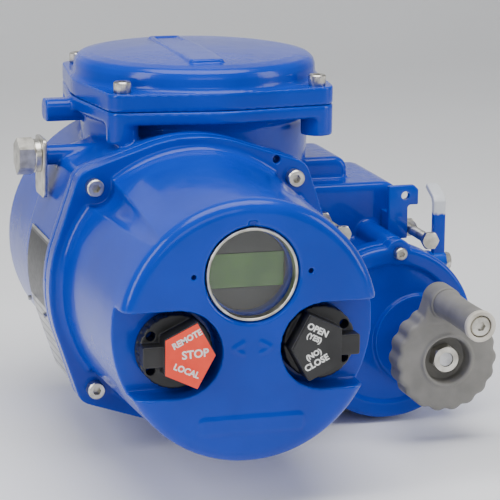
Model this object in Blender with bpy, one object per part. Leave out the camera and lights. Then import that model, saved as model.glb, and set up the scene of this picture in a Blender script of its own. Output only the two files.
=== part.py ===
"""Motorised quarter-turn valve actuator.

Metres, +Z up. The origin is the centre of the valve-mounting face at the bottom, on the output axis.
The control cover faces -Y, the terminal cover faces +Z, and the gear cover and handwheel are at +X.
"""

import math

import bmesh
import bpy
from mathutils import Matrix, Vector

# ---------- Fits ----------
GAP = 0.0003  # between pieces that touch
RUNNING = 0.0005  # radial clearance of a turning piece
OVERLAP = 0.001  # how far shapes that join, or a cutter, run into each other

# ---------- Worm gear and output ----------
WHEEL_MODULE = 0.003
WHEEL_TEETH = 38
WHEEL_WIDTH = 0.018
WORM_RADIUS = 0.011
WORM_LENGTH = 0.046
WHEEL_TOOTH_SHARE = 0.36  # of the pitch at the tooth, so that the mesh keeps generous backlash
SHAFT_RADIUS = 0.0075
HUB_RADIUS = 0.034
BUSH_RADIUS = 0.0217
BUSH_BORE = 0.012
WORM_Z = 0.064
BEARING_RADIUS = 0.0165
OUTPUT_RING_RADIUS = 0.046

# ---------- Spur gears and motor ----------
SPUR_MODULE = 0.0015
SPUR_TEETH = 40
PINION_TEETH = 16
SPUR_WIDTH = 0.010
SPUR_TOOTH_SHARE = 0.43
MOTOR_RADIUS = 0.025
MOTOR_LENGTH = 0.092
MOTOR_ANGLE = math.radians(118)
ROTOR_RADIUS = 0.004

# ---------- Base ----------
BASE_RADIUS = 0.0625
BASE_THICKNESS = 0.014
SPIGOT_RADIUS = 0.035
VALVE_BOLT_CIRCLE = 0.051
VALVE_BOLT_HOLE = 0.0055
BASE_SCREW_CIRCLE = 0.0525
BASE_HEAD_SEAT = 0.0090

# ---------- Gear case ----------
GEAR_COVER_RADIUS = 0.0675
GEAR_COVER_THICKNESS = 0.012
GEAR_COVER_SEAM_Y = -0.082
GEAR_COVER_SHIFT = (-0.023, 0.0063)  # of its centre from the worm shaft
GEAR_CHAMBER_DEPTH = 0.0165
GEAR_SCREW_SHARE = 0.0043  # screw circle inside the cover's edge
CASE_BACK_Y = 0.062
CASE_WALL = 0.0085

# ---------- Control cover ----------
CONTROL_RADIUS = 0.108
CONTROL_DEPTH = 0.150
CONTROL_FOOT = 0.018  # space under the control cover
CONTROL_LAP = 0.0135  # how far the flange reaches over the gear cover's circle
FLANGE_Y = -0.118
FLANGE_THICKNESS = 0.0137
FACE_RADIUS = 0.092
BARREL_RADIUS = 0.098
COVER_WALL = 0.009
FACE_WALL = 0.030
EAR_RADIUS = 0.013
CONTROL_BOLT_SQUARE = 0.150
EDGE_ROUND = 0.009
KNOB_SPAN = 0.1016
KNOB_DROP = 0.0120
KNOB_RADIUS = 0.026
POCKET_CLEARANCE = 0.0042  # round a knob
POCKET_DEPTH = 0.022
SPINDLE_RADIUS = 0.005
WINDOW_RADIUS = 0.0325
WINDOW_RISE = 0.0405
HOUSING_DEPTH = 0.180  # main housing behind the cover's seam

# ---------- Terminal compartment ----------
LID_RADIUS = 0.098
LID_EAR_RADIUS = 0.012
LID_BOLT_SQUARE = 0.150
LID_SHIFT = (0.033, 0.124)  # of its centre from the control axis and the flange face
LID_SEAM_RISE = 0.013  # above the control cover's edge
LID_FLANGE = 0.013
LID_HEIGHT = 0.035
LID_WALL = 0.006

# ---------- Cover seals ----------
SEAL_WIDTH = 0.0036
SEAL_DEPTH = 0.0026

# ---------- Screws ----------
M8 = 0.004
M8_HEAD = (0.0065, 0.008)
M6 = 0.003
M6_HEAD = (0.005, 0.006)
SHANK_SIDES = 8  # of a screw and of its hole

# ---------- Handwheel ----------
HANDWHEEL_RADIUS = 0.0395
HANDWHEEL_THICKNESS = 0.022
HANDWHEEL_REACH = 0.062  # its front face before the gear cover's front
SCALLOPS = 18
SPINNER_CIRCLE = 0.0445
SPINNER_ANGLE = math.radians(94)
SPINNER_RADIUS = 0.0115
SPINNER_LENGTH = 0.072
NUT_FLATS = 0.019

# ---------- Hand/auto lever and padlock tab ----------
LEVER_WIDTH = 0.010
LEVER_OUT = -0.0140  # of the pivot from the gear cover's side
LEVER_RISE = -0.0238  # of the pivot over the gear cover's top
LEVER_DEPTH = -0.050
LEVER_HEIGHT = 0.048
TAB_FOOT_RISE = -0.0063  # lowest height of the padlock tab over the gear cover's top
TAB_HEIGHT = 0.042

# ---------- Worked out ----------
CENTRES = WHEEL_MODULE * WHEEL_TEETH / 2 + WORM_RADIUS
WORM_X = CENTRES
SPUR_CENTRES = SPUR_MODULE * (SPUR_TEETH + PINION_TEETH) / 2
MOTOR_X = WORM_X + SPUR_CENTRES * math.cos(MOTOR_ANGLE)
MOTOR_Z = WORM_Z + SPUR_CENTRES * math.sin(MOTOR_ANGLE)
GEAR_X = WORM_X + GEAR_COVER_SHIFT[0]
GEAR_Z = WORM_Z + GEAR_COVER_SHIFT[1]
GEAR_FRONT_Y = GEAR_COVER_SEAM_Y - GEAR_COVER_THICKNESS
CASE_TOP_Z = GEAR_Z + GEAR_COVER_RADIUS
LEVER_PIVOT = (GEAR_X + GEAR_COVER_RADIUS + LEVER_OUT, LEVER_DEPTH, CASE_TOP_Z + LEVER_RISE)
CONTROL_Z = CONTROL_RADIUS + CONTROL_FOOT
CONTROL_X = GEAR_X - (CONTROL_RADIUS + GEAR_COVER_RADIUS - CONTROL_LAP)
SEAM_Y = FLANGE_Y + FLANGE_THICKNESS + GAP
FACE_Y = FLANGE_Y - CONTROL_DEPTH
POCKET_Y = FACE_Y + POCKET_DEPTH
POCKET_RADIUS = KNOB_RADIUS + POCKET_CLEARANCE
INNER_FACE_Y = FACE_Y + FACE_WALL
KNOB_Z = CONTROL_Z - KNOB_DROP
LID_X = CONTROL_X + LID_SHIFT[0]
LID_Y = FLANGE_Y + LID_SHIFT[1]
LID_Z = CONTROL_Z + CONTROL_RADIUS + LID_SEAM_RISE
LID_TOP = LID_Z + LID_HEIGHT
HANDWHEEL_Y = GEAR_FRONT_Y - HANDWHEEL_REACH
HANDWHEEL_BACK = HANDWHEEL_Y + HANDWHEEL_THICKNESS
SPINNER_X = WORM_X + SPINNER_CIRCLE * math.cos(SPINNER_ANGLE)
SPINNER_Z = WORM_Z + SPINNER_CIRCLE * math.sin(SPINNER_ANGLE)
BEARING_BULKHEAD_Y = GEAR_COVER_SEAM_Y + GEAR_CHAMBER_DEPTH
WHEEL_TIP = WHEEL_MODULE * (WHEEL_TEETH / 2 + 1)
WHEEL_CHAMBER = WHEEL_TIP + 0.0015
HOUSING_BACK_Y = SEAM_Y + HOUSING_DEPTH

CONTROL_SEAL_RADIUS = BARREL_RADIUS - COVER_WALL + 0.0055
LID_SEAL_RADIUS = LID_RADIUS - 0.0065

# ---------- Materials ----------
FINISHES = {
    "blue_paint": ((0.010, 0.085, 0.45), 0.25, 0.0),
    "zinc_steel": ((0.62, 0.61, 0.57), 0.3, 1.0),
    "machined_steel": ((0.45, 0.46, 0.48), 0.35, 1.0),
    "bronze": ((0.55, 0.36, 0.14), 0.35, 1.0),
    "black_plastic": ((0.02, 0.02, 0.022), 0.45, 0.0),
    "grey_plastic": ((0.20, 0.195, 0.185), 0.55, 0.0),
    "red_plastic": ((0.90, 0.08, 0.03), 0.4, 0.0),
    "cream_plastic": ((0.72, 0.68, 0.60), 0.5, 0.0),
    "black_rubber": ((0.015, 0.015, 0.015), 0.7, 0.0),
    "glass": ((0.85, 0.9, 0.9), 0.05, 0.0),
    "display_green": ((0.10, 0.30, 0.05), 0.3, 0.0),
    "circuit_board": ((0.02, 0.18, 0.07), 0.5, 0.0),
    "nameplate_metal": ((0.45, 0.45, 0.45), 0.35, 1.0),
    "aluminium": ((0.72, 0.73, 0.74), 0.35, 1.0),
}


def finish(name):
    """The named material, made once."""
    material = bpy.data.materials.get(name)
    if material:
        return material
    material = bpy.data.materials.new(name)
    material.use_nodes = True
    shader = material.node_tree.nodes["Principled BSDF"]
    colour, roughness, metallic = FINISHES[name]
    shader.inputs["Base Color"].default_value = (*colour, 1)
    shader.inputs["Roughness"].default_value = roughness
    shader.inputs["Metallic"].default_value = metallic
    return material


# ---------- Shape tools ----------
AXES = {"X": (1, 2, 0), "Y": (0, 2, 1), "Z": (0, 1, 2)}  # across, up and along, as indices


def placed(u, v, along, axis):
    """The point at u across and v up, this far along the axis."""
    point = [0.0, 0.0, 0.0]
    for index, value in zip(AXES[axis], (u, v, along)):
        point[index] = value
    return Vector(point)


def mesh_of(bm, name):
    bmesh.ops.recalc_face_normals(bm, faces=bm.faces)
    mesh = bpy.data.meshes.new(name)
    bm.to_mesh(mesh)
    bm.free()
    return mesh


def prism(outline, axis, low, high):
    """A straight solid of the outline, a list of (u, v), from low to high along the axis."""
    bm = bmesh.new()
    ends = [[bm.verts.new(placed(u, v, along, axis)) for u, v in outline] for along in (low, high)]
    bm.faces.new(ends[0])
    bm.faces.new(ends[1][::-1])
    bmesh.ops.bridge_loops(bm, edges=bm.edges[:])
    return mesh_of(bm, "prism")


def turned(profile, axis, centre, segments=40):
    """A solid of revolution. The profile is (radius, along) points; radius 0 ends close on the axis."""
    bm = bmesh.new()
    closed = all(radius > 0 for radius, _ in profile)
    rings = []
    for radius, along in profile:
        if radius == 0:
            rings.append([bm.verts.new(placed(*centre, along, axis))])
            continue
        angles = [2 * math.pi * step / segments for step in range(segments)]
        ring = [(centre[0] + radius * math.cos(a), centre[1] + radius * math.sin(a)) for a in angles]
        rings.append([bm.verts.new(placed(u, v, along, axis)) for u, v in ring])
    for one, two in zip(rings, rings[1:] + rings[:1] if closed else rings[1:]):
        for step in range(segments):
            corner = (step + 1) % segments
            quad = [one[step % len(one)], one[corner % len(one)], two[corner % len(two)], two[step % len(two)]]
            bm.faces.new(list(dict.fromkeys(quad)))
    return mesh_of(bm, "turned")


def rod(radius, axis, centre, low, high, segments=24):
    return turned([(0, low), (radius, low), (radius, high), (0, high)], axis, centre, segments)


def ring(inner, outer, axis, centre, low, high, segments=32):
    profile = [(inner, low), (outer, low), (outer, high), (inner, high)]
    return turned(profile, axis, centre, segments)


def block(low, high):
    """A box between two corners."""
    outline = [(low[0], low[1]), (high[0], low[1]), (high[0], high[1]), (low[0], high[1])]
    return prism(outline, "Z", low[2], high[2])


def polygon(radius, sides, centre=(0, 0), turn=0.0):
    angles = [2 * math.pi * side / sides + turn for side in range(sides)]
    return [(centre[0] + radius * math.cos(a), centre[1] + radius * math.sin(a)) for a in angles]


def eared(radius, ear, square, centre, grow=0.0, steps=52):
    """The taut outline round a circle and four ears on a square of side `square`."""
    half = square / 2
    circles = [(0, 0, radius + grow)]
    circles += [(x, y, ear + grow) for x in (-half, half) for y in (-half, half)]
    points = []
    for step in range(steps):
        angle = 2 * math.pi * (step + 0.5) / steps
        across, up = math.cos(angle), math.sin(angle)
        x, y, r = max(circles, key=lambda c: c[0] * across + c[1] * up + c[2])
        points.append((centre[0] + x + r * across, centre[1] + y + r * up))
    return points


def rounded_box(low, high, radius, steps=4):
    """A rectangle's outline with round corners."""
    points = []
    corners = [(high[0], high[1], 0), (low[0], high[1], 90), (low[0], low[1], 180), (high[0], low[1], 270)]
    for x, y, start in corners:
        middle_x = x - math.copysign(radius, x - (low[0] + high[0]) / 2)
        middle_y = y - math.copysign(radius, y - (low[1] + high[1]) / 2)
        for step in range(steps + 1):
            angle = math.radians(start + 90 * step / steps)
            points.append((middle_x + radius * math.cos(angle), middle_y + radius * math.sin(angle)))
    return points


def toothed(module, teeth, centre, share=0.5, phase=0.0):
    """A spur gear's outline, (u, v) points, with straight-sided teeth."""
    pitch = module * teeth / 2
    step = 2 * math.pi / teeth
    points = []
    for tooth in range(teeth):
        middle = tooth * step + phase
        for side in (-1, 1):
            corners = [(pitch - 1.2 * module, 0.72), (pitch + module, 0.30)]
            for radius, width in corners[::-side]:
                angle = middle + side * step * share * width
                points.append((centre[0] + radius * math.cos(angle), centre[1] + radius * math.sin(angle)))
    return points


# ---------- Objects ----------
def piece(name, material, mesh, adds=(), cuts=(), pivot=None, solver="EXACT"):
    """A named object with its Boolean pieces; its origin is at the pivot of what moves."""
    if pivot:
        mesh.transform(Matrix.Translation(-Vector(pivot)))
    obj = bpy.data.objects.new(name, mesh)
    bpy.context.scene.collection.objects.link(obj)
    if pivot:
        obj.location = pivot
    mesh.materials.append(finish(material))
    for kind, others in (("UNION", adds), ("DIFFERENCE", cuts)):
        for number, other in enumerate(others):
            helper = bpy.data.objects.new(f"{name}_{kind.lower()}_{number}", other)
            bpy.context.scene.collection.objects.link(helper)
            helper.hide_render = True
            helper.display_type = "WIRE"
            boolean = obj.modifiers.new(kind.title(), "BOOLEAN")
            boolean.operation = kind
            boolean.solver = solver
            boolean.object = helper
    mesh.shade_smooth()
    mesh.set_sharp_from_angle(angle=math.radians(35))
    return obj


def cap_screw(name, axis, centre, seat, toward, shank, head, length):
    """A socket-head cap screw. Its head stands on `seat` and points to `toward` (+1 or -1)."""
    radius, height = head
    head_from = seat + toward * GAP
    top = head_from + toward * height
    body = rod(radius, axis, centre, *sorted((head_from, top)), segments=16)
    stem = rod(shank, axis, centre, *sorted((seat - toward * length, head_from + toward * OVERLAP)), segments=SHANK_SIDES)
    socket_depth = top - toward * height * 0.6
    socket = prism(polygon(radius * 0.5, 6, centre), axis, *sorted((socket_depth, top + toward * OVERLAP)))
    return piece(name, "zinc_steel", body, adds=[stem], cuts=[socket], solver="MANIFOLD")


def square_corners(side, centre):
    half = side / 2
    return [(centre[0] + x * half, centre[1] + z * half) for z in (1, -1) for x in (-1, 1)]


def clear_scene():
    for obj in list(bpy.data.objects):
        bpy.data.objects.remove(obj, do_unlink=True)


# ---------- Main housing ----------
CONTROL_CENTRE = (CONTROL_X, CONTROL_Z)
LID_CENTRE = (LID_X, LID_Y)
GEAR_CENTRE = (GEAR_X, GEAR_Z)
WORM_CENTRE = (WORM_X, WORM_Z)
MOTOR_CENTRE = (MOTOR_X, MOTOR_Z)
CONTROL_SCREWS = square_corners(CONTROL_BOLT_SQUARE, CONTROL_CENTRE)
LID_SCREWS = square_corners(LID_BOLT_SQUARE, LID_CENTRE)
GEAR_SCREWS = polygon(GEAR_COVER_RADIUS - GEAR_SCREW_SHARE, 3, GEAR_CENTRE, math.radians(85))
BASE_SCREWS = polygon(BASE_SCREW_CIRCLE, 4)
VALVE_HOLES = polygon(VALVE_BOLT_CIRCLE, 4, turn=math.pi / 4)
GEAR_EAR = 0.010
BOSS_CLEARANCE = 0.0002  # between a screw boss and the padlock tab
BLOCK_FRONT_Y = -0.022
BLOCK_X = (-0.020, WORM_X + 0.009)
TAB_FOOT = CASE_TOP_Z + TAB_FOOT_RISE
BLOCK_TOP = TAB_FOOT + TAB_HEIGHT
TOWER_X = (-0.027, 0.041)
TOWER_TOP = BLOCK_TOP + 0.017
STOP_BOLTS = [(WORM_X + 0.014, CASE_TOP_Z - 0.0008), (WORM_X - 0.057, CASE_TOP_Z + 0.0082)]
HOUSING_FLANGE = 0.010
HOUSING_GROW = -0.004  # the body behind the flange is smaller than the flange
CONDUIT_X = (LID_X - 0.030, LID_X + 0.030)
CONDUIT_Z = LID_Z - 0.036
CONDUIT_RADIUS = 0.0125
NECK_RADIUS = LID_RADIUS - 0.010
NECK_BACK_Y = LID_Y + NECK_RADIUS
CONDUIT_Y = NECK_BACK_Y + 0.008


def earth_place():
    """Across, depth and height of the earth bolt's axis at the left of the housing."""
    return CONTROL_X - CONTROL_RADIUS + 0.009, FLANGE_Y + 0.080, CONTROL_Z + 0.084


def main_housing():
    flange_back = SEAM_Y + HOUSING_FLANGE
    outline = eared(CONTROL_RADIUS, EAR_RADIUS, CONTROL_BOLT_SQUARE, CONTROL_CENTRE)
    body = eared(CONTROL_RADIUS, EAR_RADIUS, CONTROL_BOLT_SQUARE, CONTROL_CENTRE, HOUSING_GROW)
    lid_outline = eared(LID_RADIUS, LID_EAR_RADIUS, LID_BOLT_SQUARE, LID_CENTRE)
    neck_foot = CONTROL_Z + 0.020
    ring_bottom = LID_Z - 0.010
    earth_x, earth_y, earth_z = earth_place()
    adds = [
        prism(body, "Y", flange_back - OVERLAP, SEAM_Y + 0.098),
        rod(CONTROL_RADIUS - 0.008, "Y", CONTROL_CENTRE, SEAM_Y + 0.09, HOUSING_BACK_Y, 32),
        turned(
            [(0, neck_foot), (NECK_RADIUS - 0.004, neck_foot), (NECK_RADIUS, ring_bottom - 0.006)]
            + [(LID_RADIUS - 0.003, ring_bottom + OVERLAP), (0, ring_bottom + OVERLAP)],
            "Z", LID_CENTRE, 32,
        ),
        prism(lid_outline, "Z", ring_bottom, LID_Z - GAP),
        rod(GEAR_COVER_RADIUS, "Y", GEAR_CENTRE, GEAR_COVER_SEAM_Y + GAP, GEAR_COVER_SEAM_Y + 0.014, 32),
        rod(GEAR_COVER_RADIUS - 0.0075, "Y", GEAR_CENTRE, GEAR_COVER_SEAM_Y + 0.010, CASE_BACK_Y, 28),
        rod(WHEEL_CHAMBER + CASE_WALL, "Z", (0, 0), BASE_THICKNESS + GAP, WORM_Z + 0.024, 32),
        prism(rounded_box((BLOCK_X[0], WORM_Z), (BLOCK_X[1], BLOCK_TOP), 0.014), "Y", BLOCK_FRONT_Y, CASE_BACK_Y + 0.008),
        prism(rounded_box((TOWER_X[0], WORM_Z), (TOWER_X[1], TOWER_TOP), 0.010), "Y", 0.002, CASE_BACK_Y + 0.0085),
    ]
    for x, y in LID_SCREWS:
        adds.append(rod(LID_EAR_RADIUS, "Z", (x, y), LID_Z - 0.024, ring_bottom + OVERLAP, 12))
    for number, (x, z) in enumerate(GEAR_SCREWS):
        reach = BLOCK_FRONT_Y + OVERLAP if number == 0 else GEAR_COVER_SEAM_Y + 0.030
        adds.append(rod(GEAR_EAR, "Y", (x, z), GEAR_COVER_SEAM_Y + GAP, reach, 14))
    for x in CONDUIT_X:
        adds.append(rod(CONDUIT_RADIUS + 0.007, "Y", (x, CONDUIT_Z), LID_Y + 0.060, CONDUIT_Y, 18))
    adds.append(rod(0.0075, "X", (earth_y, earth_z), earth_x + 0.005, earth_x + 0.045, 14))
    lug = rounded_box((LID_Y - 0.010, LID_Z - 0.019), (LID_Y + 0.010, LID_Z - 0.002), 0.006)
    adds.append(prism(lug, "X", LID_X - LID_RADIUS - 0.020, LID_X - LID_RADIUS + 0.012))
    pivot_x, pivot_y, pivot_z = LEVER_PIVOT
    boss_end = pivot_x - LEVER_WIDTH / 2 - GAP
    lever_boss = rounded_box((pivot_y - 0.009, WORM_Z), (pivot_y + 0.009, pivot_z + 0.009), 0.008)
    adds.append(prism(lever_boss, "X", boss_end - 0.018, boss_end))

    chamber_end = BEARING_BULKHEAD_Y
    tunnel_end = 0.050
    motor_end = chamber_end + 0.0085 + MOTOR_LENGTH
    bearing_seat = BEARING_RADIUS + GAP
    cuts = [
        rod(GEAR_COVER_RADIUS + 0.0008, "Y", GEAR_CENTRE, GEAR_FRONT_Y - 0.0008, GEAR_COVER_SEAM_Y + GAP, 36),
        rod(BASE_RADIUS + 0.0015, "Z", (0, 0), -OVERLAP, BASE_THICKNESS + GAP, 32),
        rod(BARREL_RADIUS - 0.010, "Y", CONTROL_CENTRE, SEAM_Y - OVERLAP, SEAM_Y + 0.044, 28),
        block(
            (CONTROL_X - 0.070, SEAM_Y + 0.040, CONTROL_Z - 0.060),
            (CONTROL_X + 0.040, SEAM_Y + 0.130, CONTROL_Z + 0.040),
        ),
        rod(LID_RADIUS - 0.020, "Z", LID_CENTRE, CONTROL_Z + 0.052, LID_Z + OVERLAP, 28),
        rod(0.011, "Y", (CONTROL_X + 0.020, CONTROL_Z + 0.068), SEAM_Y + 0.030, LID_Y, 14),
        rod(GEAR_COVER_RADIUS - 0.010, "Y", GEAR_CENTRE, GEAR_COVER_SEAM_Y - OVERLAP, chamber_end, 28),
        rod(bearing_seat, "Y", WORM_CENTRE, chamber_end - OVERLAP, tunnel_end, 18),
        rod(WHEEL_CHAMBER, "Z", (0, 0), WORM_Z - WHEEL_WIDTH / 2 - 0.003, WORM_Z + 0.0145, 32),
        rod(OUTPUT_RING_RADIUS + GAP, "Z", (0, 0), BASE_THICKNESS - OVERLAP, WORM_Z, 28),
        rod(MOTOR_RADIUS + 0.0022, "Y", MOTOR_CENTRE, chamber_end - OVERLAP, motor_end, 18),
        block((MOTOR_X - 0.014, BLOCK_FRONT_Y + 0.009, MOTOR_Z), (BLOCK_X[1] - 0.009, CASE_BACK_Y - 0.002, BLOCK_TOP - 0.010)),
    ]
    for x, z in CONTROL_SCREWS:
        cuts.append(rod(M8 + GAP, "Y", (x, z), SEAM_Y - OVERLAP, SEAM_Y + 0.019, SHANK_SIDES))
    for x, y in LID_SCREWS:
        cuts.append(rod(M8 + GAP, "Z", (x, y), LID_Z - 0.018, LID_Z + OVERLAP, SHANK_SIDES))
    for x, z in GEAR_SCREWS:
        cuts.append(rod(M6 + GAP, "Y", (x, z), GEAR_COVER_SEAM_Y - OVERLAP, GEAR_COVER_SEAM_Y + 0.016, SHANK_SIDES))
    for x, y in BASE_SCREWS:
        cuts.append(rod(M8 + GAP, "Z", (x, y), BASE_THICKNESS - OVERLAP, BASE_THICKNESS + 0.016, SHANK_SIDES))
    for x in CONDUIT_X:
        cuts.append(rod(CONDUIT_RADIUS, "Y", (x, CONDUIT_Z), LID_Y + 0.050, CONDUIT_Y + OVERLAP, 18))
    for x, z in STOP_BOLTS:
        cuts.append(rod(M8 + GAP, "Y", (x, z), BLOCK_FRONT_Y - OVERLAP, BLOCK_FRONT_Y + 0.0085, SHANK_SIDES))
    cuts.append(rod(M8 + GAP, "X", (pivot_y, pivot_z), boss_end - 0.013, boss_end + OVERLAP, SHANK_SIDES))
    cuts.append(rod(M8 + GAP, "X", (earth_y, earth_z), earth_x, earth_x + 0.022, SHANK_SIDES))
    return piece("main_housing", "blue_paint", prism(outline, "Y", SEAM_Y, flange_back), adds, cuts, solver="MANIFOLD")


# ---------- Control side ----------
def knob_axes():
    return [(CONTROL_X - KNOB_SPAN / 2, KNOB_Z, -1), (CONTROL_X + KNOB_SPAN / 2, KNOB_Z, 1)]


def pocket_outline(x, z, side, radius):
    """A half circle round the knob, open to the outside of the cover."""
    far = CONTROL_X + side * (CONTROL_RADIUS + 0.02)
    start = math.pi / 2 if side > 0 else -math.pi / 2
    angles = [start + math.pi * step / 16 for step in range(17)]
    points = [(x + radius * math.cos(a), z + radius * math.sin(a)) for a in angles]
    return [(far, points[0][1]), *points, (far, points[-1][1])]


def control_cover():
    flange_back = FLANGE_Y + FLANGE_THICKNESS
    flange = prism(
        eared(CONTROL_RADIUS, EAR_RADIUS, CONTROL_BOLT_SQUARE, CONTROL_CENTRE), "Y", FLANGE_Y, flange_back
    )
    barrel = [(0, FLANGE_Y + 0.004), (BARREL_RADIUS, FLANGE_Y + 0.004), (BARREL_RADIUS, FLANGE_Y - 0.004)]
    for step in range(5):
        angle = math.radians(90 * step / 4)
        radius = FACE_RADIUS - EDGE_ROUND * (1 - math.cos(angle))
        barrel.append((radius, FACE_Y + EDGE_ROUND * (1 - math.sin(angle))))
    barrel.append((0, FACE_Y))
    inside = BARREL_RADIUS - COVER_WALL
    cavity = [(0, flange_back + OVERLAP), (inside, flange_back + OVERLAP)]
    cavity += [(FACE_RADIUS - COVER_WALL, INNER_FACE_Y), (0, INNER_FACE_Y)]
    cuts = [turned(cavity, "Y", CONTROL_CENTRE, 32)]
    window_centre = (CONTROL_X, CONTROL_Z + WINDOW_RISE)
    cuts.append(rod(WINDOW_RADIUS, "Y", window_centre, FACE_Y - OVERLAP, FACE_Y + 0.0125, 40))
    cuts.append(rod(WINDOW_RADIUS - 0.004, "Y", window_centre, FACE_Y, INNER_FACE_Y + OVERLAP, 40))
    cuts.append(seal_groove(CONTROL_SEAL_RADIUS, flange_back - SEAL_DEPTH, flange_back + OVERLAP, "Y", CONTROL_CENTRE, 0))
    for x, z, side in knob_axes():
        cuts.append(prism(pocket_outline(x, z, side, POCKET_RADIUS), "Y", FACE_Y - OVERLAP, POCKET_Y))
        cuts.append(rod(SPINDLE_RADIUS + GAP, "Y", (x, z), POCKET_Y - OVERLAP, INNER_FACE_Y + OVERLAP, 16))
    for x, z in CONTROL_SCREWS:
        cuts.append(rod(0.0145, "Y", (x, z), FACE_Y - OVERLAP, FLANGE_Y, 24))
        cuts.append(rod(M8 + GAP, "Y", (x, z), FLANGE_Y - OVERLAP, flange_back + OVERLAP, 12))
    return piece("control_cover", "blue_paint", flange, [turned(barrel, "Y", CONTROL_CENTRE, 40)], cuts, solver="MANIFOLD")


def knob(name, plate_name, x, z, side):
    """A knob with its arm pointing outwards, and its legend plate on the other side."""
    base_back = POCKET_Y - RUNNING
    base_front = base_back - 0.012
    head_front = FACE_Y - 0.004
    head = plate_outline(x, z, side, 0)
    arm = block(
        (min(x + side * 0.004, x + side * 0.0255), head_front + 0.002, z - 0.0072),
        (max(x + side * 0.004, x + side * 0.0255), base_back - 0.003, z + 0.0072),
    )
    holes = [
        rod(0.0033, "Y", (x + side * 0.0175, z + up * 0.0118), base_front - OVERLAP, base_back + OVERLAP, 12)
        for up in (-1, 1)
    ]
    seat = rod(SPINDLE_RADIUS + GAP, "Y", (x, z), base_front + 0.002, base_back + OVERLAP, 16)
    piece(
        name, "black_plastic", rod(KNOB_RADIUS, "Y", (x, z), base_front, base_back, 32),
        [prism(head, "Y", head_front, base_front + OVERLAP), arm], [*holes, seat], pivot=(x, head_front, z),
    )
    plate = plate_outline(x, z, side, 0.0004)
    material = "red_plastic" if side < 0 else "black_plastic"
    piece(plate_name, material, prism(plate, "Y", head_front - 0.0015, head_front - GAP), pivot=(x, head_front, z))
    spindle = rod(SPINDLE_RADIUS, "Y", (x, z), base_front + 0.0023, INNER_FACE_Y + 0.012, 16)
    piece(name.replace("knob", "spindle"), "machined_steel", spindle, pivot=(x, head_front, z))


def plate_outline(x, z, side, inset):
    """A five-sided plate: a straight edge by the arm, and three corners that point at the settings."""
    near, corner, tip = 0.0115, KNOB_RADIUS - 0.0025, KNOB_RADIUS - 0.0015
    points = [(near, -0.0125), (near, 0.0125), (-near, corner), (-tip, 0), (-near, -corner)]
    shrink = 1 - inset / near
    return [(x + side * u * shrink, z + v * shrink) for u, v in points]


def window():
    centre = (CONTROL_X, CONTROL_Z + WINDOW_RISE)
    glass = rod(WINDOW_RADIUS - GAP, "Y", centre, FACE_Y + 0.0062, FACE_Y + 0.0120, 40)
    piece("window_glass", "glass", glass)
    bezel = ring(WINDOW_RADIUS - 0.0025, WINDOW_RADIUS - GAP, "Y", centre, FACE_Y + 0.0006, FACE_Y + 0.0059, 32)
    piece("window_ring", "zinc_steel", bezel)


def electronics():
    centre_z = CONTROL_Z + WINDOW_RISE
    display_y = INNER_FACE_Y + 0.0010
    display = block(
        (CONTROL_X - 0.034, display_y, centre_z - 0.024), (CONTROL_X + 0.034, display_y + 0.012, centre_z + 0.024)
    )
    screen = block(
        (CONTROL_X - 0.0175, display_y - 0.014, centre_z - 0.0125),
        (CONTROL_X + 0.0175, display_y + OVERLAP, centre_z + 0.0125),
    )
    piece("display_module", "display_green", display, [screen])
    board_y = INNER_FACE_Y + 0.0140
    board = rod(FACE_RADIUS - COVER_WALL - 0.006, "Y", CONTROL_CENTRE, board_y, board_y + 0.0018, 32)
    parts = [
        block((CONTROL_X + x, board_y + OVERLAP, CONTROL_Z + z), (CONTROL_X + x + w, board_y + 0.010, CONTROL_Z + z + h))
        for x, z, w, h in ((-0.05, -0.05, 0.03, 0.02), (0.0, -0.04, 0.02, 0.02), (0.03, -0.03, 0.012, 0.03))
    ]
    piece("control_board", "circuit_board", board, parts)
    power_y = SEAM_Y + 0.030
    power = block((CONTROL_X - 0.055, power_y, CONTROL_Z - 0.055), (CONTROL_X + 0.055, power_y + 0.0018, CONTROL_Z + 0.035))
    parts = [
        block((CONTROL_X + x, power_y - d, CONTROL_Z + z), (CONTROL_X + x + w, power_y + OVERLAP, CONTROL_Z + z + h))
        for x, z, w, h, d in ((-0.045, -0.045, 0.04, 0.035, 0.03), (0.01, -0.03, 0.03, 0.04, 0.022))
    ]
    piece("power_board", "circuit_board", power, parts)


def seal_groove(radius, low, high, axis, centre, inset):
    """A ring-shaped space inside a cover's edge, for its seal, shrunk by `inset` all round."""
    return ring(radius - SEAL_WIDTH / 2 + inset, radius + SEAL_WIDTH / 2 - inset, axis, centre, low, high, 28)


def cover_seals():
    back = FLANGE_Y + FLANGE_THICKNESS
    groove = seal_groove(CONTROL_SEAL_RADIUS, back - SEAL_DEPTH + GAP, back, "Y", CONTROL_CENTRE, GAP)
    piece("control_cover_seal", "black_rubber", groove)
    groove = seal_groove(LID_SEAL_RADIUS, LID_Z, LID_Z + SEAL_DEPTH - GAP, "Z", LID_CENTRE, GAP)
    piece("terminal_cover_seal", "black_rubber", groove)


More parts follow.
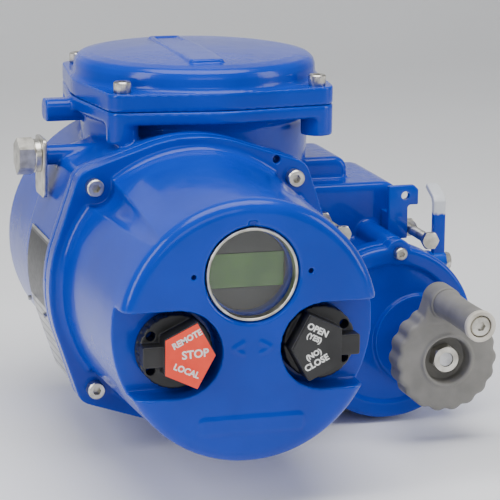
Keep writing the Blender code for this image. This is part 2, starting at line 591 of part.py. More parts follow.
# ---------- Terminal side ----------
def terminal_cover():
    outline = eared(LID_RADIUS - 0.002, LID_EAR_RADIUS, LID_BOLT_SQUARE, LID_CENTRE)
    wall = LID_RADIUS - 0.005
    dome = [(0, LID_Z + 0.004), (wall, LID_Z + 0.004), (wall, LID_Z + 0.024), (wall - 0.0015, LID_Z + 0.0275)]
    dome += [(wall - 0.005, LID_Z + 0.0298), (wall * 0.62, LID_TOP - 0.0025), (wall * 0.3, LID_TOP - 0.0012)]
    dome += [(0, LID_TOP - 0.0008)]
    inside = wall - LID_WALL
    cavity = [(0, LID_Z - OVERLAP), (inside, LID_Z - OVERLAP), (inside, LID_Z + 0.0235)]
    cavity += [(0, LID_TOP - LID_WALL - 0.0008)]
    strip = rounded_box((LID_X - 0.022, LID_Y - 0.072), (LID_X + 0.004, LID_Y + 0.060), 0.003, 2)
    adds = [turned(dome[::-1], "Z", LID_CENTRE, 40), prism(strip, "Z", LID_TOP - 0.008, LID_TOP)]
    cuts = [turned(cavity, "Z", LID_CENTRE, 32)]
    cuts.append(seal_groove(LID_SEAL_RADIUS, LID_Z - OVERLAP, LID_Z + SEAL_DEPTH, "Z", LID_CENTRE, 0))
    for x, y in LID_SCREWS:
        cuts.append(rod(M8_HEAD[0] + 0.0025, "Z", (x, y), LID_Z + LID_FLANGE, LID_TOP + OVERLAP, 20))
        cuts.append(rod(M8 + GAP, "Z", (x, y), LID_Z - OVERLAP, LID_Z + LID_FLANGE + OVERLAP, 12))
    return piece("terminal_cover", "blue_paint", prism(outline, "Z", LID_Z, LID_Z + LID_FLANGE), adds, cuts)


def terminal_block():
    low = (LID_X - 0.045, LID_Y - 0.030, CONTROL_Z + 0.0525)
    base = block(low, (LID_X + 0.045, LID_Y + 0.020, CONTROL_Z + 0.070))
    posts = [
        rod(0.0035, "Z", (LID_X - 0.036 + 0.012 * column, LID_Y - 0.018 + 0.024 * row), CONTROL_Z + 0.069,
            CONTROL_Z + 0.080, 6)
        for column in range(7) for row in range(2)
    ]
    return piece("terminal_block", "black_plastic", base, posts)


def conduit_plugs():
    for number, x in enumerate(CONDUIT_X, 1):
        shank = rod(CONDUIT_RADIUS - GAP, "Y", (x, CONDUIT_Z), CONDUIT_Y - 0.012, CONDUIT_Y + OVERLAP, 24)
        head = prism(polygon(CONDUIT_RADIUS + 0.004, 6, (x, CONDUIT_Z)), "Y", CONDUIT_Y + GAP, CONDUIT_Y + 0.006)
        piece(f"conduit_plug_{number}", "zinc_steel", shank, [head])


# ---------- Gear side ----------
def gear_cover():
    seam = GEAR_COVER_SEAM_Y
    front = GEAR_FRONT_Y
    profile = [(0, seam), (GEAR_COVER_RADIUS, seam), (GEAR_COVER_RADIUS, front + 0.004)]
    profile += [(GEAR_COVER_RADIUS - 0.0012, front + 0.0012), (GEAR_COVER_RADIUS - 0.004, front)]
    profile += [(GEAR_COVER_RADIUS - 0.0125, front), (GEAR_COVER_RADIUS - 0.0145, front + 0.002), (0, front + 0.002)]
    adds = [rod(GEAR_EAR, "Y", place, front + 0.001, seam, 14) for place in GEAR_SCREWS]
    adds.append(turned([(0, front + 0.004), (0.036, front + 0.004), (0.034, front - 0.0005), (0, front - 0.0005)],
                       "Y", WORM_CENTRE, 28))
    adds.append(turned([(0, front + 0.004), (0.019, front + 0.004), (0.017, front - 0.012), (0, front - 0.012)],
                       "Y", WORM_CENTRE, 24))
    cuts = [rod(SHAFT_RADIUS + RUNNING, "Y", WORM_CENTRE, front - 0.013, seam + OVERLAP, 24)]
    cuts.append(rod(0.0125, "Y", WORM_CENTRE, front - 0.006, seam + OVERLAP, 24))
    for place in GEAR_SCREWS:
        cuts.append(rod(M6 + GAP, "Y", place, front - OVERLAP, seam + OVERLAP, 12))
    return piece("gear_cover", "blue_paint", turned(profile, "Y", GEAR_CENTRE, 36), adds, cuts, solver="MANIFOLD")


def helical_wheel():
    """The worm wheel: slanted teeth cut to the worm's lead angle, on a long hub."""
    lead_angle = WHEEL_MODULE / (2 * WORM_RADIUS)
    pitch_radius = WHEEL_MODULE * WHEEL_TEETH / 2
    bm = bmesh.new()
    levels = []
    for height in (-WHEEL_WIDTH / 2, WHEEL_WIDTH / 2):
        twist = height * lead_angle / pitch_radius
        outline = toothed(WHEEL_MODULE, WHEEL_TEETH, (0, 0), WHEEL_TOOTH_SHARE, math.pi / WHEEL_TEETH + twist)
        levels.append([bm.verts.new((x, y, WORM_Z + height)) for x, y in outline])
    bm.faces.new(levels[0])
    bm.faces.new(levels[-1])
    for lower, upper in zip(levels, levels[1:]):
        for step in range(len(lower)):
            corner = (step + 1) % len(lower)
            bm.faces.new([lower[step], lower[corner], upper[corner], upper[step]])
    hub = rod(HUB_RADIUS, "Z", (0, 0), BASE_THICKNESS + 0.002, WORM_Z + WHEEL_WIDTH / 2 + OVERLAP, 32)
    bore = rod(BUSH_RADIUS + GAP, "Z", (0, 0), 0, WORM_Z + 0.02, 28)
    return piece("worm_wheel", "bronze", mesh_of(bm, "wheel"), [hub], [bore], pivot=(0, 0, 0))


def drive_bush():
    body = rod(BUSH_RADIUS, "Z", (0, 0), 0.0040, WORM_Z + WHEEL_WIDTH / 2, 28)
    bore = rod(BUSH_BORE, "Z", (0, 0), 0, WORM_Z + 0.02, 24)
    keyway = block((-0.004, 0, 0), (0.004, BUSH_BORE + 0.0033, WORM_Z + 0.02))
    return piece("drive_bush", "machined_steel", body, cuts=[bore, keyway], pivot=(0, 0, 0))


def worm_shaft():
    """The shaft with its thread: each ring of points follows the helix of one pitch per turn."""
    pitch = math.pi * WHEEL_MODULE
    crest, root = WORM_RADIUS + WHEEL_MODULE, WORM_RADIUS - 1.2 * WHEEL_MODULE
    around, steps_per_pitch = 12, 8
    rings = round(WORM_LENGTH / pitch * steps_per_pitch)
    bm = bmesh.new()
    levels = []
    for level in range(rings + 1):
        along = (level - rings / 2) * pitch / steps_per_pitch
        verts = []
        for step in range(around):
            angle = 2 * math.pi * step / around
            offset = (along / pitch + angle / (2 * math.pi)) % 1.0
            flank = abs(offset - 0.5) * pitch  # distance from the middle of the thread
            half_crest, half_root = 0.10 * pitch, 0.26 * pitch
            share = min(1.0, max(0.0, (half_root - flank) / (half_root - half_crest)))
            radius = root + (crest - root) * share
            if level in (0, rings):
                radius = root
            verts.append(bm.verts.new((WORM_X + radius * math.cos(angle), along, WORM_Z + radius * math.sin(angle))))
        levels.append(verts)
    bm.faces.new(levels[0])
    bm.faces.new(levels[-1])
    for lower, upper in zip(levels, levels[1:]):
        for step in range(around):
            corner = (step + 1) % around
            bm.faces.new([lower[step], lower[corner], upper[corner], upper[step]])
    thread_end = HANDWHEEL_Y + 0.0035
    front = rod(SHAFT_RADIUS, "Y", WORM_CENTRE, HANDWHEEL_Y + 0.0130, -WORM_LENGTH / 2 + OVERLAP, 20)
    tip = rod(SHAFT_RADIUS - 0.0022, "Y", WORM_CENTRE, thread_end, HANDWHEEL_Y + 0.0130 + OVERLAP, 16)
    rear = rod(SHAFT_RADIUS, "Y", WORM_CENTRE, WORM_LENGTH / 2 - OVERLAP, 0.048, 20)
    return piece("worm_shaft", "machined_steel", mesh_of(bm, "worm"), [front, tip, rear], pivot=(WORM_X, 0, WORM_Z))


def bearings_and_seals():
    bearing = (SHAFT_RADIUS + GAP, BEARING_RADIUS)
    seat = BEARING_BULKHEAD_Y + 0.001
    piece("worm_front_bearing", "machined_steel", ring(*bearing, "Y", WORM_CENTRE, seat, seat + 0.011, 20))
    piece("worm_rear_bearing", "machined_steel", ring(*bearing, "Y", WORM_CENTRE, 0.037, 0.048, 20))
    seal_back = GEAR_COVER_SEAM_Y - 0.001
    piece("shaft_seal", "black_rubber", ring(SHAFT_RADIUS + GAP, 0.0122, "Y", WORM_CENTRE, GEAR_FRONT_Y - 0.0055, seal_back, 24))
    output = (HUB_RADIUS + GAP, OUTPUT_RING_RADIUS)
    piece("output_bearing", "machined_steel", ring(*output, "Z", (0, 0), 0.034, 0.048, 24))
    piece("output_seal", "black_rubber", ring(*output, "Z", (0, 0), BASE_THICKNESS + 0.003, 0.026, 24))


def spur_pair():
    """The spur gear on the worm shaft and the motor's pinion, half a tooth apart where they mesh."""
    low = GEAR_COVER_SEAM_Y + 0.003
    high = low + SPUR_WIDTH
    gear = prism(toothed(SPUR_MODULE, SPUR_TEETH, WORM_CENTRE, SPUR_TOOTH_SHARE, MOTOR_ANGLE), "Y", low, high)
    bore = rod(SHAFT_RADIUS + GAP, "Y", WORM_CENTRE, low - OVERLAP, high + OVERLAP, 20)
    piece("worm_spur_gear", "machined_steel", gear, cuts=[bore], pivot=(WORM_X, low, WORM_Z))
    phase = MOTOR_ANGLE + math.pi + math.pi / PINION_TEETH
    pinion = prism(toothed(SPUR_MODULE, PINION_TEETH, MOTOR_CENTRE, SPUR_TOOTH_SHARE, phase), "Y", low, high)
    motor_front = BEARING_BULKHEAD_Y + 0.004
    shaft = rod(ROTOR_RADIUS, "Y", MOTOR_CENTRE, low + OVERLAP, motor_front + 0.020, 16)
    piece("motor_rotor", "machined_steel", pinion, [shaft], pivot=(MOTOR_X, low, MOTOR_Z))
    can = turned(
        [(0, motor_front), (MOTOR_RADIUS - 0.004, motor_front), (MOTOR_RADIUS, motor_front + 0.004)]
        + [(MOTOR_RADIUS, motor_front + MOTOR_LENGTH), (0, motor_front + MOTOR_LENGTH)],
        "Y", MOTOR_CENTRE, 32,
    )
    well = rod(ROTOR_RADIUS + RUNNING, "Y", MOTOR_CENTRE, motor_front - OVERLAP, motor_front + 0.022, 16)
    piece("motor_body", "aluminium", can, cuts=[well])


# ---------- Base ----------
def base_flange():
    spigot = rod(SPIGOT_RADIUS, "Z", (0, 0), -OVERLAP, BASE_THICKNESS + OVERLAP, 28)
    cuts = [spigot]
    cuts += [rod(VALVE_BOLT_HOLE, "Z", place, -OVERLAP, BASE_THICKNESS + OVERLAP, 10) for place in VALVE_HOLES]
    for place in BASE_SCREWS:
        cuts.append(turned(
            [(0, -OVERLAP), (M8_HEAD[0] + 0.0006, -OVERLAP), (M8_HEAD[0] + 0.0006, BASE_HEAD_SEAT)]
            + [(M8 + GAP, BASE_HEAD_SEAT), (M8 + GAP, BASE_THICKNESS + OVERLAP), (0, BASE_THICKNESS + OVERLAP)],
            "Z", place, 16,
        ))
    piece("base_flange", "machined_steel", rod(BASE_RADIUS, "Z", (0, 0), 0, BASE_THICKNESS, 32), cuts=cuts)
    for number, place in enumerate(BASE_SCREWS, 1):
        cap_screw(f"base_screw_{number}", "Z", place, BASE_HEAD_SEAT, -1, M8, M8_HEAD, BASE_THICKNESS + 0.004)


# ---------- Hand drive ----------
def handwheel():
    points = []
    for step in range(SCALLOPS * 3):
        angle = 2 * math.pi * step / (SCALLOPS * 3)
        dip = 0.0016 * (0.5 - 0.5 * math.cos(SCALLOPS * angle))
        radius = HANDWHEEL_RADIUS - dip
        points.append((WORM_X + radius * math.cos(angle), WORM_Z + radius * math.sin(angle)))
    rim = prism(points, "Y", HANDWHEEL_Y, HANDWHEEL_BACK)
    lobe_centre = (SPINNER_X, SPINNER_Z)
    lobe = rod(0.0125, "Y", lobe_centre, HANDWHEEL_Y - 0.0040, HANDWHEEL_BACK - 0.004, 20)
    web = prism(
        [(WORM_X - 0.021, WORM_Z + 0.028), (WORM_X + 0.017, WORM_Z + 0.028), (SPINNER_X + 0.0118, SPINNER_Z + 0.003)]
        + [(SPINNER_X - 0.0118, SPINNER_Z + 0.003)],
        "Y", HANDWHEEL_Y - OVERLAP, HANDWHEEL_BACK - 0.0045,
    )
    hub = rod(0.0155, "Y", WORM_CENTRE, HANDWHEEL_BACK - OVERLAP, GEAR_FRONT_Y - 0.0145, 20)
    cuts = [
        rod(SHAFT_RADIUS + GAP, "Y", WORM_CENTRE, HANDWHEEL_Y - OVERLAP, GEAR_FRONT_Y, 24),
        rod(0.0172, "Y", WORM_CENTRE, HANDWHEEL_Y - OVERLAP, HANDWHEEL_Y + 0.0120, 24),
        ring(0.0185, HANDWHEEL_RADIUS - 0.006, "Y", WORM_CENTRE, HANDWHEEL_BACK - 0.011, HANDWHEEL_BACK + OVERLAP, 28),
        rod(0.0040 + GAP, "Y", lobe_centre, HANDWHEEL_Y - 0.012, HANDWHEEL_BACK, 16),
    ]
    piece("handwheel", "grey_plastic", rim, [lobe, web, hub], cuts, pivot=(WORM_X, HANDWHEEL_Y, WORM_Z))
    nut = prism(polygon(NUT_FLATS / math.sqrt(3), 6, WORM_CENTRE, math.radians(18)), "Y",
                HANDWHEEL_Y + 0.0025, HANDWHEEL_Y + 0.0120 - GAP)
    thread = rod(SHAFT_RADIUS - 0.0022 + GAP, "Y", WORM_CENTRE, HANDWHEEL_Y, HANDWHEEL_Y + 0.014, 16)
    piece("handwheel_nut", "zinc_steel", nut, cuts=[thread], pivot=(WORM_X, HANDWHEEL_Y, WORM_Z))


def spinner():
    centre = (SPINNER_X, SPINNER_Z)
    root = HANDWHEEL_Y - 0.0040 - RUNNING
    tip = HANDWHEEL_Y - SPINNER_LENGTH
    pivot = (SPINNER_X, root, SPINNER_Z)
    profile = [(0.0045, root), (0.0113, root), (SPINNER_RADIUS - 0.0010, root - 0.012)]
    profile += [(SPINNER_RADIUS - 0.0006, tip + 0.0045), (0.0045, tip + 0.0045)]
    piece("spinner_grip", "grey_plastic", turned(profile, "Y", centre, 28), pivot=pivot)
    piece("spinner_washer", "cream_plastic", ring(0.0082, SPINNER_RADIUS, "Y", centre, tip, tip + 0.0042, 28), pivot=pivot)
    head = rod(0.0075, "Y", centre, tip + 0.0008, tip + 0.0042, 24)
    stem = rod(0.0040, "Y", centre, tip + 0.004, HANDWHEEL_BACK - 0.006, 16)
    socket = prism(polygon(0.0036, 6, centre), "Y", tip, tip + 0.0032)
    piece("spinner_bolt", "zinc_steel", head, [stem], [socket], pivot=pivot)


def lever():
    x, y, z = LEVER_PIVOT
    low, high = x - LEVER_WIDTH / 2, x + LEVER_WIDTH / 2
    half = 0.0026
    top = z + LEVER_HEIGHT
    outline = [(y + half, z), (y + half, top - 0.001), (y + 0.018, top + 0.0075), (y + 0.0155, top + 0.0115)]
    outline += [(y - half, top + 0.0015), (y - half, z)]
    eye = rod(0.0075, "X", (y, z), low, high, 20)
    hole = rod(M8 + RUNNING, "X", (y, z), low - OVERLAP, high + OVERLAP, 16)
    piece("hand_lever", "blue_paint", prism(outline, "X", low, high), [eye], [hole], pivot=LEVER_PIVOT)
    shank = rod(M8, "X", (y, z), low - 0.012, high + OVERLAP, SHANK_SIDES)
    head = prism(polygon(0.0072, 6, (y, z)), "X", high + GAP, high + 0.0045)
    piece("lever_pivot_bolt", "zinc_steel", shank, [head])


def padlock_tab():
    front, back = -0.0405, -0.0355
    left, right = GEAR_SCREWS[0][0] + GEAR_EAR + BOSS_CLEARANCE, WORM_X + 0.0085
    outline = [(left, TAB_FOOT), (right, TAB_FOOT), (right, BLOCK_TOP - 0.015), (right + 0.0085, BLOCK_TOP - 0.015)]
    outline += [(right + 0.0085, BLOCK_TOP + 0.0005), (left, BLOCK_TOP + 0.0005)]
    foot = block((left, front + OVERLAP, TAB_FOOT), (left + 0.005, BLOCK_FRONT_Y - GAP, BLOCK_TOP - 0.021))
    hole = rod(0.0034, "Y", (right - 0.0022, BLOCK_TOP - 0.0075), front - OVERLAP, back + OVERLAP, 16)
    piece("padlock_tab", "blue_paint", prism(outline, "Y", front, back), [foot], [hole])


def stop_bolts():
    for number, (x, z) in enumerate(STOP_BOLTS, 1):
        shank = rod(M8, "Y", (x, z), BLOCK_FRONT_Y - 0.054, BLOCK_FRONT_Y + 0.008, SHANK_SIDES)
        head = prism(polygon(0.0072, 6, (x, z)), "Y", BLOCK_FRONT_Y - 0.056, BLOCK_FRONT_Y - 0.051)
        nut = prism(polygon(0.0075, 6, (x, z)), "Y", BLOCK_FRONT_Y - 0.007, BLOCK_FRONT_Y - GAP)
        piece(f"stop_bolt_{number}", "zinc_steel", shank, [head, nut])


# ---------- Left side ----------
def earth_connection():
    x, y, z = earth_place()
    plate_face = x + 0.004
    plate = prism(rounded_box((y - 0.015, z - 0.030), (y + 0.015, z + 0.014), 0.004, 3), "X", x + 0.001, plate_face)
    hole = rod(M8 + GAP, "X", (y, z), x - OVERLAP, plate_face + OVERLAP, 16)
    piece("earth_plate", "zinc_steel", plate, cuts=[hole])
    shank = rod(M8, "X", (y, z), x - 0.005, x + 0.020, SHANK_SIDES)
    washer = rod(0.0125, "X", (y, z), x - 0.0035, x + 0.001 - GAP, 28)
    head = prism(polygon(0.0140, 6, (y, z), math.radians(30)), "X", x - 0.016, x - 0.003)
    piece("earth_bolt", "zinc_steel", shank, [washer, head])


def nameplate():
    """A thin plate bent round the left of the housing."""
    def edge(grow):
        points = eared(CONTROL_RADIUS, EAR_RADIUS, CONTROL_BOLT_SQUARE, CONTROL_CENTRE, HOUSING_GROW + grow)
        left = [(x, z) for x, z in points if x < CONTROL_X - 0.070 and z > CONTROL_Z - 0.088]
        return [(x, z) for x, z in left if z < CONTROL_Z + 0.074]

    inner, outer = edge(GAP), edge(0.0013)
    low = SEAM_Y + 0.0165
    return piece("nameplate", "nameplate_metal", prism(inner + outer[::-1], "Y", low, low + 0.062))


# ---------- Build ----------
def build():
    clear_scene()
    main_housing()
    control_cover()
    for number, (x, z) in enumerate(CONTROL_SCREWS, 1):
        cap_screw(f"control_cover_screw_{number}", "Y", (x, z), FLANGE_Y, -1, M8, M8_HEAD, 0.030)
    window()
    electronics()
    knob("mode_knob", "mode_knob_plate", *knob_axes()[0])
    knob("command_knob", "command_knob_plate", *knob_axes()[1])
    terminal_cover()
    for number, (x, y) in enumerate(LID_SCREWS, 1):
        cap_screw(f"terminal_cover_screw_{number}", "Z", (x, y), LID_Z + LID_FLANGE, 1, M8, M8_HEAD, 0.028)
    cover_seals()
    terminal_block()
    conduit_plugs()
    gear_cover()
    for number, place in enumerate(GEAR_SCREWS, 1):
        cap_screw(f"gear_cover_screw_{number}", "Y", place, GEAR_FRONT_Y, -1, M6, M6_HEAD, 0.024)
    helical_wheel()
    drive_bush()
    worm_shaft()
    bearings_and_seals()
    spur_pair()
    base_flange()
    handwheel()
    spinner()
    lever()
    padlock_tab()
    stop_bolts()
    earth_connection()
    nameplate()


build()
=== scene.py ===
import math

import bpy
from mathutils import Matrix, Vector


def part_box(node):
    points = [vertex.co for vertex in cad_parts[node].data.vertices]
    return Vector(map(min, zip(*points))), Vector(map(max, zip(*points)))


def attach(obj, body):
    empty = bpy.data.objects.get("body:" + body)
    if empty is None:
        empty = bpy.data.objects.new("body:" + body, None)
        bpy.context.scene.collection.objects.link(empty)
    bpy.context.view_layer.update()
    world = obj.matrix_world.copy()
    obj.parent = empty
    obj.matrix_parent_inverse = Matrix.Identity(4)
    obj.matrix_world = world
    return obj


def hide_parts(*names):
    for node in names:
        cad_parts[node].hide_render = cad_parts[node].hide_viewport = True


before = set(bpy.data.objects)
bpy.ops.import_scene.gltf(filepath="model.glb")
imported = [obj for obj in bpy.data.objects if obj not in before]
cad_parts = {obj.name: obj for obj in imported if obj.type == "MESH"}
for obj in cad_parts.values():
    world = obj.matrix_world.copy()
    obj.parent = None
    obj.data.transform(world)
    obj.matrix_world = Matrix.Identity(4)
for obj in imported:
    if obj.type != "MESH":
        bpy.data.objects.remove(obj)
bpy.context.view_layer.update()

# %% [markdown]
# # A motorised valve actuator, dressed piece by piece
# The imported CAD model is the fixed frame: every gear, screw and casting already has its place and its body.
# What follows gives each visible piece the shape and finish of the real one. A casting gets soft edges from
# its mould, a moulded knob gets its legend, and a screw gets its socket and its knurl.

# %% [markdown]
# ## Where things are
# The frame knows every place. The front of the control cover faces -Y, so its outline is read as X and Z.
# A round piece's axis is the middle of its box.

# %% Places read from the frame
def middle(node):
    low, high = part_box(node)
    return (low + high) / 2


COVER_LOW, COVER_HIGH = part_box("control_cover")
CONTROL = (middle("control_cover").x, middle("control_cover").z)
FACE, COVER_BACK = COVER_LOW.y, COVER_HIGH.y
FLANGE = COVER_BACK - 0.0137  # front of the cover's bolting flange
WINDOW = (middle("window_glass").x, middle("window_glass").z)
LID_LOW, LID_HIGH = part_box("terminal_cover")
LID = (middle("terminal_cover").x, middle("terminal_cover").y)
SHAFT = (middle("worm_spur_gear").x, middle("worm_spur_gear").z)
GEAR_SCREWS = [(middle(f"gear_cover_screw_{n}").x, middle(f"gear_cover_screw_{n}").z) for n in (1, 2, 3)]
GEAR = tuple(sum(place[axis] for place in GEAR_SCREWS) / 3 for axis in (0, 1))
GEAR_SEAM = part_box("gear_cover")[1].y
GEAR_FRONT = GEAR_SEAM - 0.012
SPINNER = (middle("spinner_grip").x, middle("spinner_grip").z)
KNOBS = {
    "mode": (middle("mode_spindle").x, middle("mode_spindle").z, -1),
    "command": (middle("command_spindle").x, middle("command_spindle").z, 1),
}
SQUARE = 0.150  # side of the square that the ears' screws stand on
SEAM = COVER_BACK + 0.0003
LID_SEAM = LID_LOW.z
print("control axis", [round(x, 4) for x in CONTROL], "gear centre", [round(x, 4) for x in GEAR])

# %% [markdown]
# ## The workshop's hand tools
# Almost every piece here starts in one of two ways. A turned piece is a profile spun round an axis, as on a
# lathe. A flat piece is an outline that is extruded. Both start as a circle whose points are moved to where
# they belong, which keeps the mesh in order and closed.

# %% Selecting, and applying a modifier
def only(obj):
    """Selects this object alone and makes it active."""
    bpy.ops.object.select_all(action="DESELECT")
    obj.select_set(True)
    bpy.context.view_layer.objects.active = obj


def modify(obj, kind, **settings):
    """Adds a modifier, sets it and applies it."""
    only(obj)
    modifier = obj.modifiers.new(kind.title(), kind)
    for name, value in settings.items():
        setattr(modifier, name, value)
    bpy.ops.object.modifier_apply(modifier=modifier.name)
    return obj


def inside_out(mesh):
    """True if the faces of a closed mesh point inward, which makes its volume negative."""
    mesh.calc_loop_triangles()
    corners = [[mesh.vertices[index].co for index in triangle.vertices] for triangle in mesh.loop_triangles]
    return sum(one.dot(two.cross(three)) for one, two, three in corners) < 0


def clean(obj):
    """Merges doubled points, drops loose ones and turns every face outward."""
    only(obj)
    bpy.ops.object.mode_set(mode="EDIT")
    bpy.ops.mesh.select_all(action="SELECT")
    bpy.ops.mesh.remove_doubles(threshold=1e-6)
    bpy.ops.mesh.delete_loose()
    bpy.ops.mesh.select_all(action="SELECT")
    bpy.ops.mesh.normals_make_consistent(inside=False)
    bpy.ops.object.mode_set(mode="OBJECT")
    if inside_out(obj.data):
        bpy.ops.object.mode_set(mode="EDIT")
        bpy.ops.mesh.select_all(action="SELECT")
        bpy.ops.mesh.flip_normals()
        bpy.ops.object.mode_set(mode="OBJECT")
    return obj


# %% A loop of points, a lathe and an extruder
AXES = {"X": (1, 2, 0), "Y": (0, 2, 1), "Z": (0, 1, 2)}  # across, up and along, as indices


def point(across, up, along, axis):
    place = [0.0, 0.0, 0.0]
    for index, value in zip(AXES[axis], (across, up, along)):
        place[index] = value
    return Vector(place)


def loop(points, fill="NOTHING"):
    bpy.ops.object.select_all(action="DESELECT")
    bpy.ops.mesh.primitive_circle_add(vertices=len(points), fill_type=fill)
    obj = bpy.context.object
    for vertex, place in zip(obj.data.vertices, points):
        vertex.co = place
    return obj


def turned(profile, axis, centre, steps=96):
    """Spins a closed profile of (radius, along) points round the axis."""
    obj = loop([point(centre[0] + radius, centre[1], along, axis) for radius, along in profile])
    only(obj)
    bpy.ops.object.mode_set(mode="EDIT")
    bpy.ops.mesh.select_all(action="SELECT")
    bpy.ops.mesh.spin(steps=steps, angle=2 * math.pi, center=point(*centre, 0, axis), axis=point(0, 0, 1, axis))
    bpy.ops.object.mode_set(mode="OBJECT")
    return clean(obj)


def slab(outline, axis, low, high, soft=0.0, rounds=3):
    """Extrudes an outline along the axis, and rounds its sharp edges."""
    obj = loop([point(across, up, low, axis) for across, up in outline], "NGON")
    only(obj)
    bpy.ops.object.mode_set(mode="EDIT")
    bpy.ops.mesh.select_all(action="SELECT")
    bpy.ops.mesh.extrude_region_move(TRANSFORM_OT_translate={"value": point(0, 0, high - low, axis)})
    bpy.ops.object.mode_set(mode="OBJECT")
    clean(obj)
    if soft:
        modify(obj, "BEVEL", width=soft, segments=rounds, limit_method="ANGLE", angle_limit=math.radians(40))
    return obj


def rod(radius, axis, centre, low, high, steps=48):
    return turned([(0, low), (radius, low), (radius, high), (0, high)], axis, centre, steps)


def block(low, high, soft=0.0):
    outline = [(low[0], low[1]), (high[0], low[1]), (high[0], high[1]), (low[0], high[1])]
    return slab(outline, "Z", low[2], high[2], soft)


# %% Outlines
def polygon(radius, sides, centre=(0, 0), turn=0.0):
    angles = [2 * math.pi * side / sides + turn for side in range(sides)]
    return [(centre[0] + radius * math.cos(a), centre[1] + radius * math.sin(a)) for a in angles]


def eared(radius, ear, centre, grow=0.0, steps=240):
    """The taut outline round a circle and the four ears that hold its screws."""
    half = SQUARE / 2
    circles = [(0, 0, radius + grow)] + [(x, y, ear + grow) for x in (-half, half) for y in (-half, half)]
    points = []
    for step in range(steps):
        angle = 2 * math.pi * (step + 0.5) / steps
        across, up = math.cos(angle), math.sin(angle)
        x, y, r = max(circles, key=lambda c: c[0] * across + c[1] * up + c[2])
        points.append((centre[0] + x + r * across, centre[1] + y + r * up))
    return points


def rounded(low, high, radius, steps=8):
    """A rectangle with round corners."""
    points = []
    for x, y, start in ((high[0], high[1], 0), (low[0], high[1], 90), (low[0], low[1], 180), (high[0], low[1], 270)):
        inner_x = x - math.copysign(radius, x - (low[0] + high[0]) / 2)
        inner_y = y - math.copysign(radius, y - (low[1] + high[1]) / 2)
        for step in range(steps + 1):
            angle = math.radians(start + 90 * step / steps)
            points.append((inner_x + radius * math.cos(angle), inner_y + radius * math.sin(angle)))
    return points


def corners(centre):
    half = SQUARE / 2
    return [(centre[0] + x * half, centre[1] + z * half) for z in (1, -1) for x in (-1, 1)]


# %% [markdown]
# ## How a casting gets its soft edges
# Cast iron and aluminium never have a sharp inner corner: the mould has fillets and the paint fills the rest.
# A bevel would have to find thousands of cut edges. Instead the shapes are joined and cut with Booleans,
# remeshed into small even cells, and smoothed, which rounds every edge alike. Decimate then takes back the
# cells that a flat wall doesn't need.

# %% Join, cut and cast
def combine(obj, others, operation):
    """Joins or cuts with each of the others in turn, and clears them off the bench."""
    for other in others:
        modify(obj, "BOOLEAN", operation=operation, solver="EXACT", object=other)
        bpy.data.objects.remove(other)
    return obj


def cast(obj, adds, cuts, cell, smooth, triangles):
    combine(obj, adds, "UNION")
    combine(obj, cuts, "DIFFERENCE")
    modify(obj, "REMESH", mode="VOXEL", voxel_size=cell)
    modify(obj, "SMOOTH", factor=0.5, iterations=smooth)
    modify(obj, "DECIMATE", ratio=min(1.0, triangles / (2 * len(obj.data.polygons))))
    only(obj)
    bpy.ops.object.shade_smooth()
    return obj


def smooth(obj, angle=35):
    only(obj)
    bpy.ops.object.shade_smooth_by_angle(angle=math.radians(angle))
    return obj


def finished(obj, name, body, material, replaces=()):
    """Names the piece, gives it its finish, hangs it on the body it rides on, and hides the nodes it replaces."""
    only(obj)
    bpy.ops.object.transform_apply(location=True, rotation=True, scale=True)
    obj.name = obj.data.name = name
    obj.data.materials.clear()
    obj.data.materials.append(material)
    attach(obj, body)
    if replaces:
        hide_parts(*replaces)
    obj.data.calc_loop_triangles()
    print(f"{name}: {len(obj.data.loop_triangles)} triangles on {body}")
    return obj


# %% [markdown]
# ## Finishes
# Each finish is a few nodes on Object coordinates: one noise for the colour's drift, one for how the gloss
# varies, and one for the bump. The scales are per metre, so a scale of 400 has features about 2.5 mm wide.

# %% A finish with drift, gloss and grain
def link(tree, output, target):
    tree.links.new(output, target)


def noise(tree, scale, detail=3.0, stretch=None):
    coordinates = tree.nodes.new("ShaderNodeTexCoord").outputs["Object"]
    if stretch:
        mapping = tree.nodes.new("ShaderNodeMapping")
        mapping.inputs["Scale"].default_value = stretch
        link(tree, coordinates, mapping.inputs["Vector"])
        coordinates = mapping.outputs["Vector"]
    texture = tree.nodes.new("ShaderNodeTexNoise")
    texture.inputs["Scale"].default_value = scale
    texture.inputs["Detail"].default_value = detail
    link(tree, coordinates, texture.inputs["Vector"])
    return texture.outputs["Fac"]


def ramp(tree, factor, stops):
    """Colours or greys along a factor: (position, colour) pairs."""
    node = tree.nodes.new("ShaderNodeValToRGB")
    elements = node.color_ramp.elements
    while len(elements) < len(stops):
        elements.new(0.5)
    for element, (position, colour) in zip(elements, stops):
        element.position = position
        element.color = (*colour, 1) if len(colour) == 3 else colour
    link(tree, factor, node.inputs["Fac"])
    return node.outputs["Color"]


def spread(tree, factor, low, high):
    node = tree.nodes.new("ShaderNodeMapRange")
    node.inputs["To Min"].default_value, node.inputs["To Max"].default_value = low, high
    link(tree, factor, node.inputs["Value"])
    return node.outputs["Result"]


def bump(tree, height, distance, strength=1.0, under=None):
    node = tree.nodes.new("ShaderNodeBump")
    node.inputs["Strength"].default_value = strength
    node.inputs["Distance"].default_value = distance
    link(tree, height, node.inputs["Height"])
    if under:
        link(tree, under, node.inputs["Normal"])
    return node.outputs["Normal"]


def blended(tree, factor, one, other):
    """One colour over another by a factor."""
    node = tree.nodes.new("ShaderNodeMix")
    node.data_type = "RGBA"
    link(tree, factor, node.inputs["Factor"])
    for socket, value in (("A", one), ("B", other)):
        target = next(i for i in node.inputs if i.name == socket and i.type == "RGBA")
        if isinstance(value, tuple):
            target.default_value = (*value, 1)
        else:
            link(tree, value, target)
    return next(o for o in node.outputs if o.type == "RGBA")


